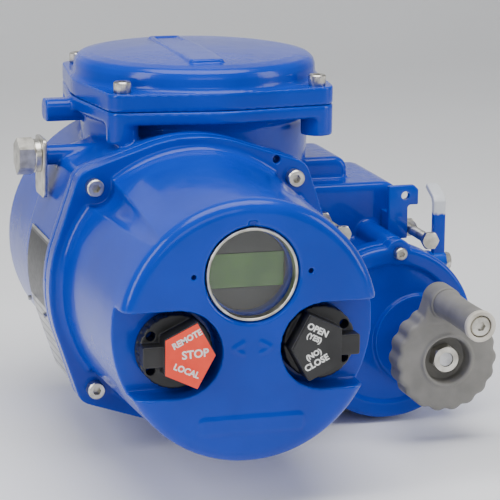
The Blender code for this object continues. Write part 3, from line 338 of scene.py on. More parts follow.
def surface(name, dark, light, rough, metallic=0.0, drift=30, grain=(400, 0.00005), stretch=None, **sockets):
    material = bpy.data.materials.new(name)
    material.use_nodes = True
    tree = material.node_tree
    shader = tree.nodes["Principled BSDF"]
    link(tree, ramp(tree, noise(tree, drift, 4), [(0.35, dark), (0.65, light)]), shader.inputs["Base Color"])
    link(tree, spread(tree, noise(tree, drift * 4, 5), *rough), shader.inputs["Roughness"])
    link(tree, bump(tree, noise(tree, grain[0], 4, stretch), grain[1]), shader.inputs["Normal"])
    shader.inputs["Metallic"].default_value = metallic
    for socket, value in sockets.items():
        shader.inputs[socket.replace("_", " ")].default_value = value
    return material


# %% [markdown]
# ### Blue enamel
# The castings are sprayed with a thick gloss enamel. Up close it has orange peel, a fine ripple that breaks
# up reflections, over the slow waviness of the casting. On proud edges its colour is made paler, a painted
# highlight, and in hollows darker, a painted shade.

# %% Blue enamel
def enamel():
    material = surface(
        "blue_enamel", (0.0001, 0.030, 0.36), (0.0003, 0.040, 0.46), (0.18, 0.28), drift=14,
        grain=(330, 0.00010), Coat_Weight=0.22, Coat_Roughness=0.05, Specular_IOR_Level=0.20,
    )
    tree = material.node_tree
    shader = tree.nodes["Principled BSDF"]
    base = shader.inputs["Base Color"].links[0].from_socket
    edges = tree.nodes.new("ShaderNodeNewGeometry").outputs["Pointiness"]
    # painted highlight: pointiness turns proud edges a paler blue
    painted_highlight_mask = ramp(tree, edges, [(0.50, (0, 0, 0)), (0.62, (0.55, 0.55, 0.55))])
    pale = blended(tree, painted_highlight_mask, base, (0.004, 0.085, 0.55))
    # painted shade: pointiness turns hollows and inner corners a darker blue
    hollow = ramp(tree, edges, [(0.36, (0.55, 0.55, 0.55)), (0.48, (0, 0, 0))])
    link(tree, blended(tree, hollow, pale, (0.0002, 0.016, 0.17)), shader.inputs["Base Color"])
    peel = shader.inputs["Normal"].links[0].from_socket
    link(tree, bump(tree, noise(tree, 38, 2), 0.0012, 0.35, under=peel), shader.inputs["Normal"])
    return material


ENAMEL = enamel()
print("blue enamel:", len(ENAMEL.node_tree.nodes), "nodes")

# %% [markdown]
# ### Metals and mouldings
# Zinc plate is a little yellow and cloudy. Machined steel has fine tool lines. The mouldings have a spark
# finish from their tool, which scatters the light.

# %% Metals and mouldings
ZINC = surface("zinc_plate", (0.42, 0.40, 0.35), (0.72, 0.70, 0.64), (0.22, 0.42), 1.0, 120, (900, 0.00003))
STEEL = surface("turned_steel", (0.33, 0.33, 0.34), (0.56, 0.56, 0.57), (0.22, 0.40), 1.0, 90, (700, 0.00003), (1, 1, 6))
BRONZE = surface("cast_bronze", (0.38, 0.21, 0.07), (0.66, 0.42, 0.17), (0.3, 0.5), 1.0, 60, (300, 0.0001))
CAN = surface("motor_can", (0.55, 0.56, 0.57), (0.72, 0.73, 0.74), (0.3, 0.45), 1.0, 40, (500, 0.00004))
BLACK = surface("black_moulding", (0.008, 0.008, 0.009), (0.022, 0.022, 0.023), (0.34, 0.5), drift=50, grain=(1500, 0.00004))
GREY = surface("grey_moulding", (0.185, 0.178, 0.162), (0.235, 0.226, 0.206), (0.46, 0.62), drift=60, grain=(1300, 0.00006))
CREAM = surface("cream_moulding", (0.50, 0.46, 0.38), (0.68, 0.64, 0.56), (0.4, 0.55), drift=80, grain=(1200, 0.00004))
RUBBER = surface("black_rubber", (0.010, 0.010, 0.010), (0.024, 0.023, 0.022), (0.6, 0.8), drift=70, grain=(1600, 0.00005))
RED = surface("red_label", (0.86, 0.040, 0.014), (0.96, 0.065, 0.024), (0.32, 0.45), drift=60, grain=(1400, 0.00002))
PRINT = surface("white_print", (0.74, 0.74, 0.72), (0.88, 0.88, 0.86), (0.35, 0.5), drift=200, grain=(1500, 0.00002))
BARE = surface("bare_alloy", (0.52, 0.53, 0.54), (0.74, 0.75, 0.76), (0.25, 0.42), 1.0, 70, (500, 0.00005))
print(len(bpy.data.materials), "finishes so far")

# %% [markdown]
# ## The control cover
# This is the big round casting in front. Its barrel was turned after casting, so it tapers a little and its
# edge is round. Four ears on the flange carry its bolts, and the barrel gives way to them in round grooves.
# The window and the two knob pockets are cut in the face.

# %% The control cover's barrel, flange and hollow
BARREL, FACE_RADIUS, EDGE, WALL = 0.098, 0.092, 0.009, 0.009
INNER_FACE = FACE + 0.030
POCKET = FACE + 0.022
PANEL = (0.0365, 0.0055)  # half sides of the blank panel on the face


def control_barrel():
    profile = [(0, FLANGE + 0.004), (BARREL + 0.0035, FLANGE + 0.004), (BARREL + 0.0030, FLANGE - 0.0006)]
    profile += [(BARREL + 0.0008, FLANGE - 0.0022), (BARREL - 0.0001, FLANGE - 0.0050)]
    for step in range(9):
        angle = math.radians(90 * step / 8)
        profile.append((FACE_RADIUS - EDGE * (1 - math.cos(angle)), FACE + EDGE * (1 - math.sin(angle))))
    return turned(profile + [(0, FACE)], "Y", CONTROL, 160)


def pocket(x, z, side, radius=0.0302):
    """A half round pocket that is open at the side of the barrel."""
    far = CONTROL[0] + side * 0.128
    start = math.pi / 2 if side > 0 else -math.pi / 2
    arc = [start + math.pi * step / 40 for step in range(41)]
    outline = [(x + radius * math.cos(a), z + radius * math.sin(a)) for a in arc]
    return slab([(far, outline[0][1]), *outline, (far, outline[-1][1])], "Y", FACE - 0.002, POCKET)


def stroke(centre, length, width, turn):
    """A raised bar on the face, turned about the face's axis."""
    across, up = math.cos(turn), math.sin(turn)
    ends = [(-length, -width), (length, -width), (length, width), (-length, width)]
    outline = [(centre[0] + u * across - v * up, centre[1] + u * up + v * across) for u, v in ends]
    return slab(outline, "Y", FACE - 0.0007, FACE + 0.002)


def control_cover():
    flange = slab(eared(0.108, 0.013, CONTROL), "Y", FLANGE, COVER_BACK)
    panel = rounded(
        (CONTROL[0] - PANEL[0], CONTROL[1] - 0.064 - PANEL[1]), (CONTROL[0] + PANEL[0], CONTROL[1] - 0.064 + PANEL[1]), 0.003
    )
    adds = [control_barrel(), slab(panel, "Y", FACE - 0.0008, FACE + 0.002)]
    for side in (-1, 1):
        for up in (-1, 1):
            tip = (CONTROL[0] + side * 0.0095, CONTROL[1] - 0.0105 + up * 0.0022)
            adds.append(stroke(tip, 0.0042, 0.0007, -side * up * math.radians(28)))
    hollow = [(0, COVER_BACK + 0.001), (BARREL - WALL, COVER_BACK + 0.001), (FACE_RADIUS - WALL, INNER_FACE), (0, INNER_FACE)]
    cuts = [turned(hollow, "Y", CONTROL, 64)]
    seat = [(0, FACE - 0.002), (0.0348, FACE - 0.002), (0.0348, FACE), (0.0330, FACE + 0.0016), (0.0325, FACE + 0.0125)]
    cuts.append(turned(seat + [(0.0285, FACE + 0.0126), (0.0285, INNER_FACE + 0.002), (0, INNER_FACE + 0.002)], "Y", WINDOW, 96))
    groove = [(0.0877, COVER_BACK - 0.0026), (0.0913, COVER_BACK - 0.0026), (0.0913, COVER_BACK + 0.001), (0.0877, COVER_BACK + 0.001)]
    cuts.append(turned([(r + 0.0050, along) for r, along in groove], "Y", CONTROL, 96))
    for x, z, side in KNOBS.values():
        cuts.append(pocket(x, z, side))
        cuts.append(rod(0.0053, "Y", (x, z), POCKET - 0.001, INNER_FACE + 0.001, 32))
    for x, z in corners(CONTROL):
        cuts.append(rod(0.0145, "Y", (x, z), FACE - 0.001, FLANGE, 64))
        cuts.append(rod(0.0045, "Y", (x, z), FLANGE - 0.001, COVER_BACK + 0.001, 32))
    for side in (-1, 1):
        cuts.append(rod(0.0020, "Y", (CONTROL[0] + side * 0.041, CONTROL[1] + 0.041), FACE - 0.001, FACE + 0.006, 24))
    cuts.append(rod(0.0030, "Y", (CONTROL[0] + 0.062, CONTROL[1] + 0.0885), FLANGE - 0.001, FLANGE + 0.008, 24))
    tab = rounded((WINDOW[0] - 0.0032, WINDOW[1] + 0.030), (WINDOW[0] + 0.0032, WINDOW[1] + 0.0375), 0.0012)
    cuts.append(slab(tab, "Y", FACE - 0.002, FACE + 0.0025))
    return cast(flange, adds, cuts, 0.0010, 3, 190000)


COVER = finished(control_cover(), "control_cover_casting", "housing", ENAMEL, ["control_cover"])

# %% [markdown]
# ## The terminal cover
# The lid on top has the same square of ears, a low dome, and a raised strip where a maker would cast a name.
# Here the strip stays plain.

# %% The terminal cover
LID_FLANGE, LID_TOP = LID_SEAM + 0.013, LID_HIGH.z


def terminal_cover():
    flange = slab(eared(0.096, 0.012, LID), "Z", LID_SEAM, LID_FLANGE)
    wall = 0.093
    dome = [(0, LID_SEAM + 0.004), (wall + 0.002, LID_SEAM + 0.004), (wall + 0.0015, LID_FLANGE + 0.0008), (wall, LID_FLANGE + 0.003)]
    dome += [(wall - 0.0004, LID_SEAM + 0.0230), (wall - 0.0018, LID_SEAM + 0.0268), (wall - 0.0050, LID_SEAM + 0.0296)]
    dome += [(wall * share, LID_TOP - 0.0008 - 0.0040 * share * share) for share in (0.85, 0.7, 0.55, 0.4, 0.25, 0.1)]
    adds = [turned(dome + [(0, LID_TOP - 0.0008)], "Z", LID, 160)]
    strip = rounded((LID[0] - 0.022, LID[1] - 0.072), (LID[0] + 0.004, LID[1] + 0.060), 0.004)
    adds.append(slab(strip, "Z", LID_TOP - 0.008, LID_TOP - 0.0002))
    cuts = [turned([(0, LID_SEAM - 0.001), (0.087, LID_SEAM - 0.001), (0.087, LID_SEAM + 0.0235), (0, LID_TOP - 0.0068)], "Z", LID, 64)]
    groove = [(0.0897, LID_SEAM - 0.001), (0.0933, LID_SEAM - 0.001), (0.0933, LID_SEAM + 0.0026), (0.0897, LID_SEAM + 0.0026)]
    cuts.append(turned(groove, "Z", LID, 96))
    pocket_outline = rounded((LID[0] - 0.0185, LID[1] + 0.030), (LID[0] + 0.0005, LID[1] + 0.054), 0.002)
    cuts.append(slab(pocket_outline, "Z", LID_TOP - 0.0012, LID_TOP + 0.001))
    for x, y in corners(LID):
        cuts.append(rod(0.0092, "Z", (x, y), LID_FLANGE, LID_TOP + 0.001, 48))
        cuts.append(rod(0.0044, "Z", (x, y), LID_SEAM - 0.001, LID_FLANGE + 0.001, 32))
    return cast(flange, adds, cuts, 0.0010, 3, 150000)


finished(terminal_cover(), "terminal_cover_casting", "housing", ENAMEL, ["terminal_cover"])

# %% [markdown]
# ## The main housing
# One casting holds everything: the neck under the lid, the round body behind the control cover, the worm
# gear case, the motor tunnel and the valve end. It is built from the same rods and slabs a pattern maker
# would glue up, then cut for every chamber and screw.

# %% The main housing
NECK = 0.088
NECK_BACK = LID[1] + NECK
CASE_BACK = 0.062
EARTH = (middle("earth_bolt").y, middle("earth_bolt").z)
EARTH_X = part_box("earth_plate")[0].x - 0.001
PIVOT = (middle("lever_pivot_bolt").y, middle("lever_pivot_bolt").z)
BOSS_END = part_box("hand_lever")[0].x - 0.0003
MOTOR = (middle("motor_body").x, middle("motor_body").z)
CONDUITS = [(middle(f"conduit_plug_{n}").x, middle(f"conduit_plug_{n}").z) for n in (1, 2)]
STOPS = [(middle(f"stop_bolt_{n}").x, middle(f"stop_bolt_{n}").z) for n in (1, 2)]
BASES = [(middle(f"base_screw_{n}").x, middle(f"base_screw_{n}").y) for n in (1, 2, 3, 4)]


def housing_shapes():
    ring_bottom = LID_SEAM - 0.010
    neck_foot = CONTROL[1] + 0.020
    neck = [(0, neck_foot), (NECK - 0.004, neck_foot), (NECK, ring_bottom - 0.006), (0.0945, ring_bottom + 0.001)]
    shapes = [
        slab(eared(0.108, 0.013, CONTROL, -0.004), "Y", SEAM + 0.009, SEAM + 0.098, 0.006, 5),
        rod(0.100, "Y", CONTROL, SEAM + 0.09, SEAM + 0.180, 128),
        turned(neck + [(0, ring_bottom + 0.001)], "Z", LID, 128),
        slab(eared(0.098, 0.012, LID), "Z", ring_bottom, LID_SEAM - 0.0003),
        rod(0.0675, "Y", GEAR, GEAR_SEAM + 0.0003, GEAR_SEAM + 0.014, 128),
        rod(0.060, "Y", GEAR, GEAR_SEAM + 0.010, CASE_BACK, 96),
        rod(0.0685, "Z", (0, 0), 0.0143, 0.088, 96),
        slab(rounded((-0.020, 0.064), (0.077, 0.173), 0.014), "Y", -0.022, CASE_BACK + 0.008, 0.005, 4),
        slab(rounded((-0.027, 0.064), (0.041, 0.190), 0.010), "Y", 0.002, CASE_BACK + 0.0085, 0.005, 4),
        rod(0.0075, "X", EARTH, EARTH_X + 0.005, EARTH_X + 0.045, 32),
        slab(rounded((LID[1] - 0.010, LID_SEAM - 0.019), (LID[1] + 0.010, LID_SEAM - 0.002), 0.006), "X", LID[0] - 0.118, LID[0] - 0.086),
        slab(rounded((PIVOT[0] - 0.009, 0.064), (PIVOT[0] + 0.009, PIVOT[1] + 0.009), 0.008), "X", BOSS_END - 0.018, BOSS_END),
    ]
    for x, y in corners(LID):
        shapes.append(rod(0.012, "Z", (x, y), LID_SEAM - 0.024, ring_bottom + 0.001, 40))
    for number, (x, z) in enumerate(GEAR_SCREWS):
        shapes.append(rod(0.010, "Y", (x, z), GEAR_SEAM + 0.0003, -0.021 if number == 0 else GEAR_SEAM + 0.030, 40))
    for x, z in CONDUITS:
        shapes.append(rod(0.0195, "Y", (x, z), LID[1] + 0.060, NECK_BACK + 0.008, 48))
    for height in (0.100, 0.128, 0.156):  # cooling ribs on the back of the tower
        shapes.append(block((-0.024, CASE_BACK + 0.004, height), (0.038, CASE_BACK + 0.0105, height + 0.0035), 0.001))
    return shapes


def housing_hollows():
    chamber = GEAR_SEAM + 0.0165
    bearing = 0.0168
    hollows = [
        rod(0.0683, "Y", GEAR, GEAR_SEAM - 0.0128, GEAR_SEAM + 0.0003, 128),
        rod(0.0640, "Z", (0, 0), -0.001, 0.0143, 96),
        rod(0.088, "Y", CONTROL, SEAM - 0.001, SEAM + 0.044, 64),
        block((CONTROL[0] - 0.070, SEAM + 0.040, CONTROL[1] - 0.060), (CONTROL[0] + 0.040, SEAM + 0.130, CONTROL[1] + 0.040)),
        rod(0.078, "Z", LID, CONTROL[1] + 0.052, LID_SEAM + 0.001, 64),
        rod(0.011, "Y", (CONTROL[0] + 0.020, CONTROL[1] + 0.068), SEAM + 0.030, LID[1], 32),
        rod(0.0575, "Y", GEAR, GEAR_SEAM - 0.001, chamber, 64),
        rod(bearing, "Y", SHAFT, chamber - 0.001, 0.050, 40),
        rod(0.0615, "Z", (0, 0), 0.052, 0.0785, 64),
        rod(0.0463, "Z", (0, 0), 0.013, 0.064, 64),
        rod(0.0271, "Y", (MOTOR[0] + 0.0002, MOTOR[1] + 0.0001), chamber - 0.0013, chamber + 0.0999, 56),
        block((MOTOR[0] - 0.014, -0.013, MOTOR[1]), (0.068, CASE_BACK - 0.002, 0.163)),
    ]
    for x, z in corners(CONTROL):
        hollows.append(rod(0.0044, "Y", (x, z), SEAM - 0.001, SEAM + 0.019, 24))
    for x, y in corners(LID):
        hollows.append(rod(0.0044, "Z", (x, y), LID_SEAM - 0.018, LID_SEAM + 0.001, 24))
    for x, z in GEAR_SCREWS:
        hollows.append(rod(0.0034, "Y", (x, z), GEAR_SEAM - 0.001, GEAR_SEAM + 0.016, 24))
    for x, y in BASES:
        hollows.append(rod(0.0044, "Z", (x, y), 0.013, 0.030, 24))
    for x, z in CONDUITS:
        hollows.append(rod(0.0127, "Y", (x, z), LID[1] + 0.050, NECK_BACK + 0.009, 40))
    for x, z in STOPS:
        hollows.append(rod(0.0044, "Y", (x, z), -0.023, -0.0135, 24))
    hollows.append(rod(0.0044, "X", PIVOT, BOSS_END - 0.013, BOSS_END + 0.001, 24))
    hollows.append(rod(0.0044, "X", EARTH, EARTH_X, EARTH_X + 0.022, 24))
    return hollows


def main_housing():
    flange = slab(eared(0.108, 0.013, CONTROL), "Y", SEAM, SEAM + 0.010)
    return cast(flange, housing_shapes(), housing_hollows(), 0.0013, 4, 195000)


finished(main_housing(), "main_housing_casting", "housing", ENAMEL, ["main_housing"])

# %% [markdown]
# ## The gear cover
# A shallow turned cover closes the spur gears. It has a raised rim, a flat step for the shaft, and three
# bosses for its screws.

# %% The gear cover
def gear_cover():
    seam, front, radius = GEAR_SEAM, GEAR_FRONT, 0.0675
    rim = [(0, seam), (radius, seam), (radius, front + 0.0040), (radius - 0.0008, front + 0.0018), (radius - 0.0020, front + 0.0005)]
    rim += [(radius - 0.0040, front), (radius - 0.0125, front), (radius - 0.0145, front + 0.0022), (0, front + 0.0022)]
    adds = [rod(0.010, "Y", place, front + 0.0006, seam, 48) for place in GEAR_SCREWS]
    adds.append(turned([(0, front + 0.004), (0.0368, front + 0.004), (0.0350, front - 0.0006), (0, front - 0.0006)], "Y", SHAFT, 96))
    adds.append(turned([(0, front + 0.004), (0.0200, front + 0.004), (0.0180, front - 0.0014), (0.0165, front - 0.0118), (0, front - 0.0122)], "Y", SHAFT, 64))
    cuts = [rod(0.0080, "Y", SHAFT, front - 0.014, seam + 0.001, 48), rod(0.0126, "Y", SHAFT, front - 0.006, seam + 0.001, 48)]
    cuts += [rod(0.0034, "Y", place, front - 0.001, seam + 0.001, 24) for place in GEAR_SCREWS]
    return cast(turned(rim, "Y", GEAR, 128), adds, cuts, 0.0008, 3, 90000)


finished(gear_cover(), "gear_cover_casting", "housing", ENAMEL, ["gear_cover"])

# %% [markdown]
# ## Screws
# A socket-head cap screw has a knurled head with a chamfer, and a hexagon socket. It is modelled once,
# standing on the origin, and copied to each of its places with its own mesh.

# %% One cap screw, modelled at the origin
def cap_screw(shank, radius, height, length):
    """A cap screw on +Z, with its seat at height 0."""
    profile = [(0, -0.0002), (radius - 0.0004, -0.0002), (radius, 0.0004), (radius, height - 0.0009)]
    head = turned(profile + [(radius - 0.0009, height), (0, height)], "Z", (0, 0), 72)
    for vertex in head.data.vertices:  # the knurl: every other line of the side stands proud
        place = Vector((vertex.co.x, vertex.co.y))
        line = round(math.atan2(place.y, place.x) / (2 * math.pi) * 72)
        if line % 2 and radius - 0.0002 < place.length and vertex.co.z > 0:
            vertex.co.x *= 1 - 0.00028 / radius
            vertex.co.y *= 1 - 0.00028 / radius
    combine(head, [rod(shank, "Z", (0, 0), -length, 0.001, 24)], "UNION")
    combine(head, [slab(polygon(radius * 0.5, 6), "Z", height * 0.4, height + 0.001)], "DIFFERENCE")
    return smooth(head)


def copy_to(model, node, toward, seat, name, body="housing", material=None):
    """A copy of a model that stands on +Z, turned to face along `toward` and moved to its node's seat."""
    only(model)
    bpy.ops.object.duplicate()
    copy = bpy.context.object
    copy.rotation_euler = Vector((0, 0, 1)).rotation_difference(Vector(toward)).to_euler()
    copy.location = seat
    return finished(copy, name, body, material or ZINC, [node])


# %% Every cap screw
def place_screws():
    large = cap_screw(0.004, 0.0065, 0.008, 0.026)
    small = cap_screw(0.003, 0.005, 0.006, 0.022)
    base = cap_screw(0.004, 0.0065, 0.0079, 0.017)
    for number in (1, 2, 3, 4):
        spot = middle(f"control_cover_screw_{number}")
        copy_to(large, f"control_cover_screw_{number}", (0, -1, 0), (spot.x, FLANGE - 0.0003, spot.z), f"control_screw_{number}")
        spot = middle(f"terminal_cover_screw_{number}")
        copy_to(large, f"terminal_cover_screw_{number}", (0, 0, 1), (spot.x, spot.y, LID_FLANGE + 0.0003), f"terminal_screw_{number}")
        spot = middle(f"base_screw_{number}")
        copy_to(base, f"base_screw_{number}", (0, 0, -1), (spot.x, spot.y, 0.0087), f"valve_end_screw_{number}")
    for number, (x, z) in enumerate(GEAR_SCREWS, 1):
        copy_to(small, f"gear_cover_screw_{number}", (0, -1, 0), (x, GEAR_FRONT - 0.0003, z), f"gear_screw_{number}")
    for model in (large, small, base):
        bpy.data.objects.remove(model)


place_screws()

# %% [markdown]
# ## The window
# A toughened glass sits in a step of the face behind a bright ring. Behind it a dark mask frames a green
# display, and the ring's inner wall shows as a pale bevel.

# %% The window's ring, glass, mask and display
def glass_finish():
    material = bpy.data.materials.new("window_pane")
    material.use_nodes = True
    tree = material.node_tree
    shader = tree.nodes["Principled BSDF"]
    link(tree, ramp(tree, noise(tree, 60), [(0.3, (0.93, 0.95, 0.93)), (0.7, (0.98, 0.99, 0.98))]), shader.inputs["Base Color"])
    link(tree, spread(tree, noise(tree, 220, 4), 0.01, 0.05), shader.inputs["Roughness"])
    shader.inputs["Transmission Weight"].default_value = 1.0
    shader.inputs["IOR"].default_value = 1.45
    return material


def display_finish():
    """Green glass with the faint dark cells of its segments."""
    material = surface("lcd_green", (0.055, 0.17, 0.020), (0.10, 0.26, 0.035), (0.12, 0.22), drift=45, grain=(900, 0.00001))
    tree = material.node_tree
    shader = tree.nodes["Principled BSDF"]
    bricks = tree.nodes.new("ShaderNodeTexBrick")
    bricks.inputs["Scale"].default_value = 220
    bricks.inputs["Mortar Size"].default_value = 0.05
    mapping = tree.nodes.new("ShaderNodeMapping")
    mapping.inputs["Rotation"].default_value = (math.pi / 2, 0, 0)
    link(tree, tree.nodes.new("ShaderNodeTexCoord").outputs["Object"], mapping.inputs["Vector"])
    link(tree, mapping.outputs["Vector"], bricks.inputs["Vector"])
    base = shader.inputs["Base Color"].links[0].from_socket
    link(tree, blended(tree, spread(tree, bricks.outputs["Fac"], 0.0, 0.12), base, (0.03, 0.08, 0.01)), shader.inputs["Base Color"])
    return material


def window():
    ring = [(0.0303, FACE + 0.0008), (0.0307, FACE + 0.0004), (0.0318, FACE + 0.0004), (0.0322, FACE + 0.0009)]
    bezel = turned(ring + [(0.0322, FACE + 0.0059), (0.0296, FACE + 0.0059)], "Y", WINDOW, 128)
    finished(smooth(bezel), "window_bezel", "housing", ZINC, ["window_ring"])
    pane = turned(
        [(0, FACE + 0.0062), (0.0318, FACE + 0.0062), (0.0322, FACE + 0.0066), (0.0322, FACE + 0.0116), (0.0318, FACE + 0.0120)]
        + [(0, FACE + 0.0120)], "Y", WINDOW, 128,
    )
    finished(smooth(pane), "window_pane", "housing", glass_finish(), ["window_glass"])
    back, front = FACE + 0.031, FACE + 0.0170
    lit = slab(rounded((WINDOW[0] - 0.0262, front), (WINDOW[0] + 0.0262, back), 0.0005), "Z", WINDOW[1] - 0.0118, WINDOW[1] + 0.0118, 0.0003)
    finished(lit, "display_lit", "housing", display_finish(), [])
    mask = slab(polygon(0.0278, 96, WINDOW), "Y", front + 0.0008, back)
    slot_cut = block((WINDOW[0] - 0.0266, front - 0.001, WINDOW[1] - 0.0122), (WINDOW[0] + 0.0266, back + 0.001, WINDOW[1] + 0.0122))
    combine(mask, [slot_cut], "DIFFERENCE")
    low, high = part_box("display_module")
    body = block((low.x, back - 0.0004, low.z), (high.x, high.y, high.z))
    combine(mask, [body], "UNION")
    dark = surface("display_mask", (0.012, 0.012, 0.011), (0.030, 0.030, 0.028), (0.3, 0.5), drift=90, grain=(900, 0.00003))
    finished(smooth(mask), "display_mask", "housing", dark, ["display_module"])


window()

# %% [markdown]
# ## The knobs
# Each knob is a black moulding: a round skirt, an arm that points outward and can be padlocked, and a
# five-sided head with a legend plate. The legends are raised letters, as in the plate's own print.

# %% A knob, its plate and its legends
def five_sided(x, z, side, inset):
    near, corner, tip = 0.0115, 0.0235, 0.0245
    outline = [(near, -0.0125), (near, 0.0125), (-near, corner), (-tip, 0), (-near, -corner)]
    shrink = 1 - inset / near
    return [(x + side * u * shrink, z + v * shrink) for u, v in outline]


def legend(name, words, place, size, turn, front, body):
    """Raised lettering that faces the front, turned about the knob's axis."""
    bpy.ops.object.select_all(action="DESELECT")
    bpy.ops.object.text_add(location=(place[0], front, place[1]), rotation=(math.pi / 2, math.radians(turn), 0))
    text = bpy.context.object
    text.data.body = words
    text.data.size = size
    text.data.align_x, text.data.align_y = "CENTER", "CENTER"
    text.data.extrude, text.data.offset, text.data.resolution_u = 0.00010, 0.00022, 3
    bpy.ops.object.convert(target="MESH")
    clean(bpy.context.object)
    return finished(bpy.context.object, name, body, PRINT)


def knob(kind, plate_finish):
    x, z, side = KNOBS[kind]
    body, head = f"{kind}_selector", FACE - 0.004
    skirt_back, skirt_front = POCKET - 0.0005, POCKET - 0.0125
    skirt = [(0, skirt_back), (0.0255, skirt_back), (0.0260, skirt_back - 0.0006), (0.0260, skirt_front + 0.0015)]
    skirt += [(0.0255, skirt_front + 0.0004), (0.0245, skirt_front), (0, skirt_front)]
    arm = rounded((min(x + side * 0.004, x + side * 0.0255), z - 0.0072), (max(x + side * 0.004, x + side * 0.0255), z + 0.0072), 0.0015)
    adds = [slab(five_sided(x, z, side, 0), "Y", head, skirt_front + 0.001, 0.0006), slab(arm, "Y", head + 0.002, skirt_back - 0.003, 0.0008)]
    cuts = [rod(0.0033, "Y", (x + side * 0.0175, z + up * 0.0118), skirt_front - 0.001, skirt_back + 0.001, 32) for up in (-1, 1)]
    cuts.append(rod(0.0053, "Y", (x, z), skirt_front + 0.002, skirt_back + 0.001, 32))
    for angle in range(0, 360, 15):  # finger flutes round the skirt
        spot = (x + 0.0268 * math.cos(math.radians(angle)), z + 0.0268 * math.sin(math.radians(angle)))
        cuts.append(rod(0.0016, "Y", spot, skirt_front - 0.001, skirt_back - 0.004, 16))
    moulding = cast(turned(skirt, "Y", (x, z), 96), adds, cuts, 0.00042, 2, 40000)
    finished(moulding, f"{kind}_knob_moulding", body, BLACK, [f"{kind}_knob"])
    plate = slab(five_sided(x, z, side, 0.0004), "Y", head - 0.0013, head - 0.0003, 0.0002, 2)
    finished(plate, f"{kind}_legend_plate", body, plate_finish, [f"{kind}_knob_plate"])
    return x, z, body, head - 0.0013


def knobs():
    x, z, body, front = knob("mode", RED)
    legend("legend_remote", "REMOTE", (x + 0.0038, z + 0.0122), 0.0058, -26, front, body)
    legend("legend_stop", "STOP", (x + 0.0095, z + 0.0016), 0.0078, -4, front, body)
    legend("legend_local", "LOCAL", (x + 0.0034, z - 0.0098), 0.0060, 24, front, body)
    x, z, body, front = knob("command", BLACK)
    legend("legend_open", "OPEN", (x - 0.0062, z + 0.0126), 0.0062, 27, front, body)
    legend("legend_yes", "(YES)", (x - 0.0086, z + 0.0072), 0.0052, 27, front, body)
    legend("legend_no", "(NO)", (x - 0.0088, z - 0.0044), 0.0052, -27, front, body)
    legend("legend_close", "CLOSE", (x - 0.0066, z - 0.0104), 0.0062, -27, front, body)


knobs()

# %% [markdown]
# ## The handwheel and its spinner
# The handwheel is a thick grey moulding with shallow finger flutes, a recess round its nut, and a lobe that
# carries the folding grip. The grip turns freely on a long bolt.

# %% The handwheel
WHEEL_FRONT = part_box("handwheel_nut")[0].y - 0.0025
WHEEL_BACK = WHEEL_FRONT + 0.022


def handwheel():
    radius, count = 0.0395, 18
    outline = []
    for step in range(count * 16):
        angle = 2 * math.pi * step / (count * 16)
        reach = radius - 0.0018 * (0.5 - 0.5 * math.cos(count * angle)) ** 1.5
        outline.append((SHAFT[0] + reach * math.cos(angle), SHAFT[1] + reach * math.sin(angle)))
    rim = slab(outline, "Y", WHEEL_FRONT, WHEEL_BACK, 0.0028, 4)
    lobe = [(0, WHEEL_FRONT - 0.0038), (0.0112, WHEEL_FRONT - 0.0038), (0.0123, WHEEL_FRONT - 0.0030), (0.0124, WHEEL_BACK - 0.006)]
    web = [(SHAFT[0] - 0.021, SHAFT[1] + 0.028), (SHAFT[0] + 0.017, SHAFT[1] + 0.028)]
    web += [(SPINNER[0] + 0.0118, SPINNER[1] + 0.003), (SPINNER[0] - 0.0118, SPINNER[1] + 0.003)]
    collar = [(0.0172, WHEEL_FRONT + 0.002), (0.0210, WHEEL_FRONT + 0.002), (0.0202, WHEEL_FRONT - 0.0012), (0.0182, WHEEL_FRONT - 0.0012)]
    adds = [
        turned(lobe + [(0.0115, WHEEL_BACK - 0.0042), (0, WHEEL_BACK - 0.0042)], "Y", SPINNER, 64),
        slab(web, "Y", WHEEL_FRONT - 0.0006, WHEEL_BACK - 0.0045, 0.002),
        turned(collar, "Y", SHAFT, 96),
        rod(0.0155, "Y", SHAFT, WHEEL_BACK - 0.001, GEAR_FRONT - 0.0147, 64),
    ]
    dish = [(0, WHEEL_FRONT - 0.006), (0.0178, WHEEL_FRONT - 0.006), (0.0170, WHEEL_FRONT + 0.0116), (0, WHEEL_FRONT + 0.0116)]
    back = [(0.0185, WHEEL_BACK - 0.011), (0.0335, WHEEL_BACK - 0.011), (0.0335, WHEEL_BACK + 0.001), (0.0185, WHEEL_BACK + 0.001)]
    cuts = [
        turned(dish, "Y", SHAFT, 96),
        rod(0.0079, "Y", SHAFT, WHEEL_FRONT - 0.001, GEAR_FRONT, 40),
        turned(back, "Y", SHAFT, 96),
        rod(0.0044, "Y", SPINNER, WHEEL_FRONT - 0.012, WHEEL_BACK, 32),
    ]
    return cast(rim, adds, cuts, 0.00065, 3, 110000)


finished(handwheel(), "handwheel_moulding", "hand_drive", GREY, ["handwheel"])


# %% The nut, the grip, its washer and its bolt
def nut(flats, axis, centre, low, high, turn=0.0, bore=0.0, chamfer=0.0008):
    """A hexagon with its corners turned down at both faces."""
    size = flats / math.sqrt(3)
    hexagon = slab(polygon(size, 6, centre, turn), axis, low, high)
    shape = [(0, low), (flats / 2, low), (size + 0.0001, low + chamfer), (size + 0.0001, high - chamfer), (flats / 2, high), (0, high)]
    combine(hexagon, [turned(shape, axis, centre, 96)], "INTERSECT")
    if bore:
        combine(hexagon, [rod(bore, axis, centre, low - 0.001, high + 0.001, 40)], "DIFFERENCE")
    return smooth(hexagon)


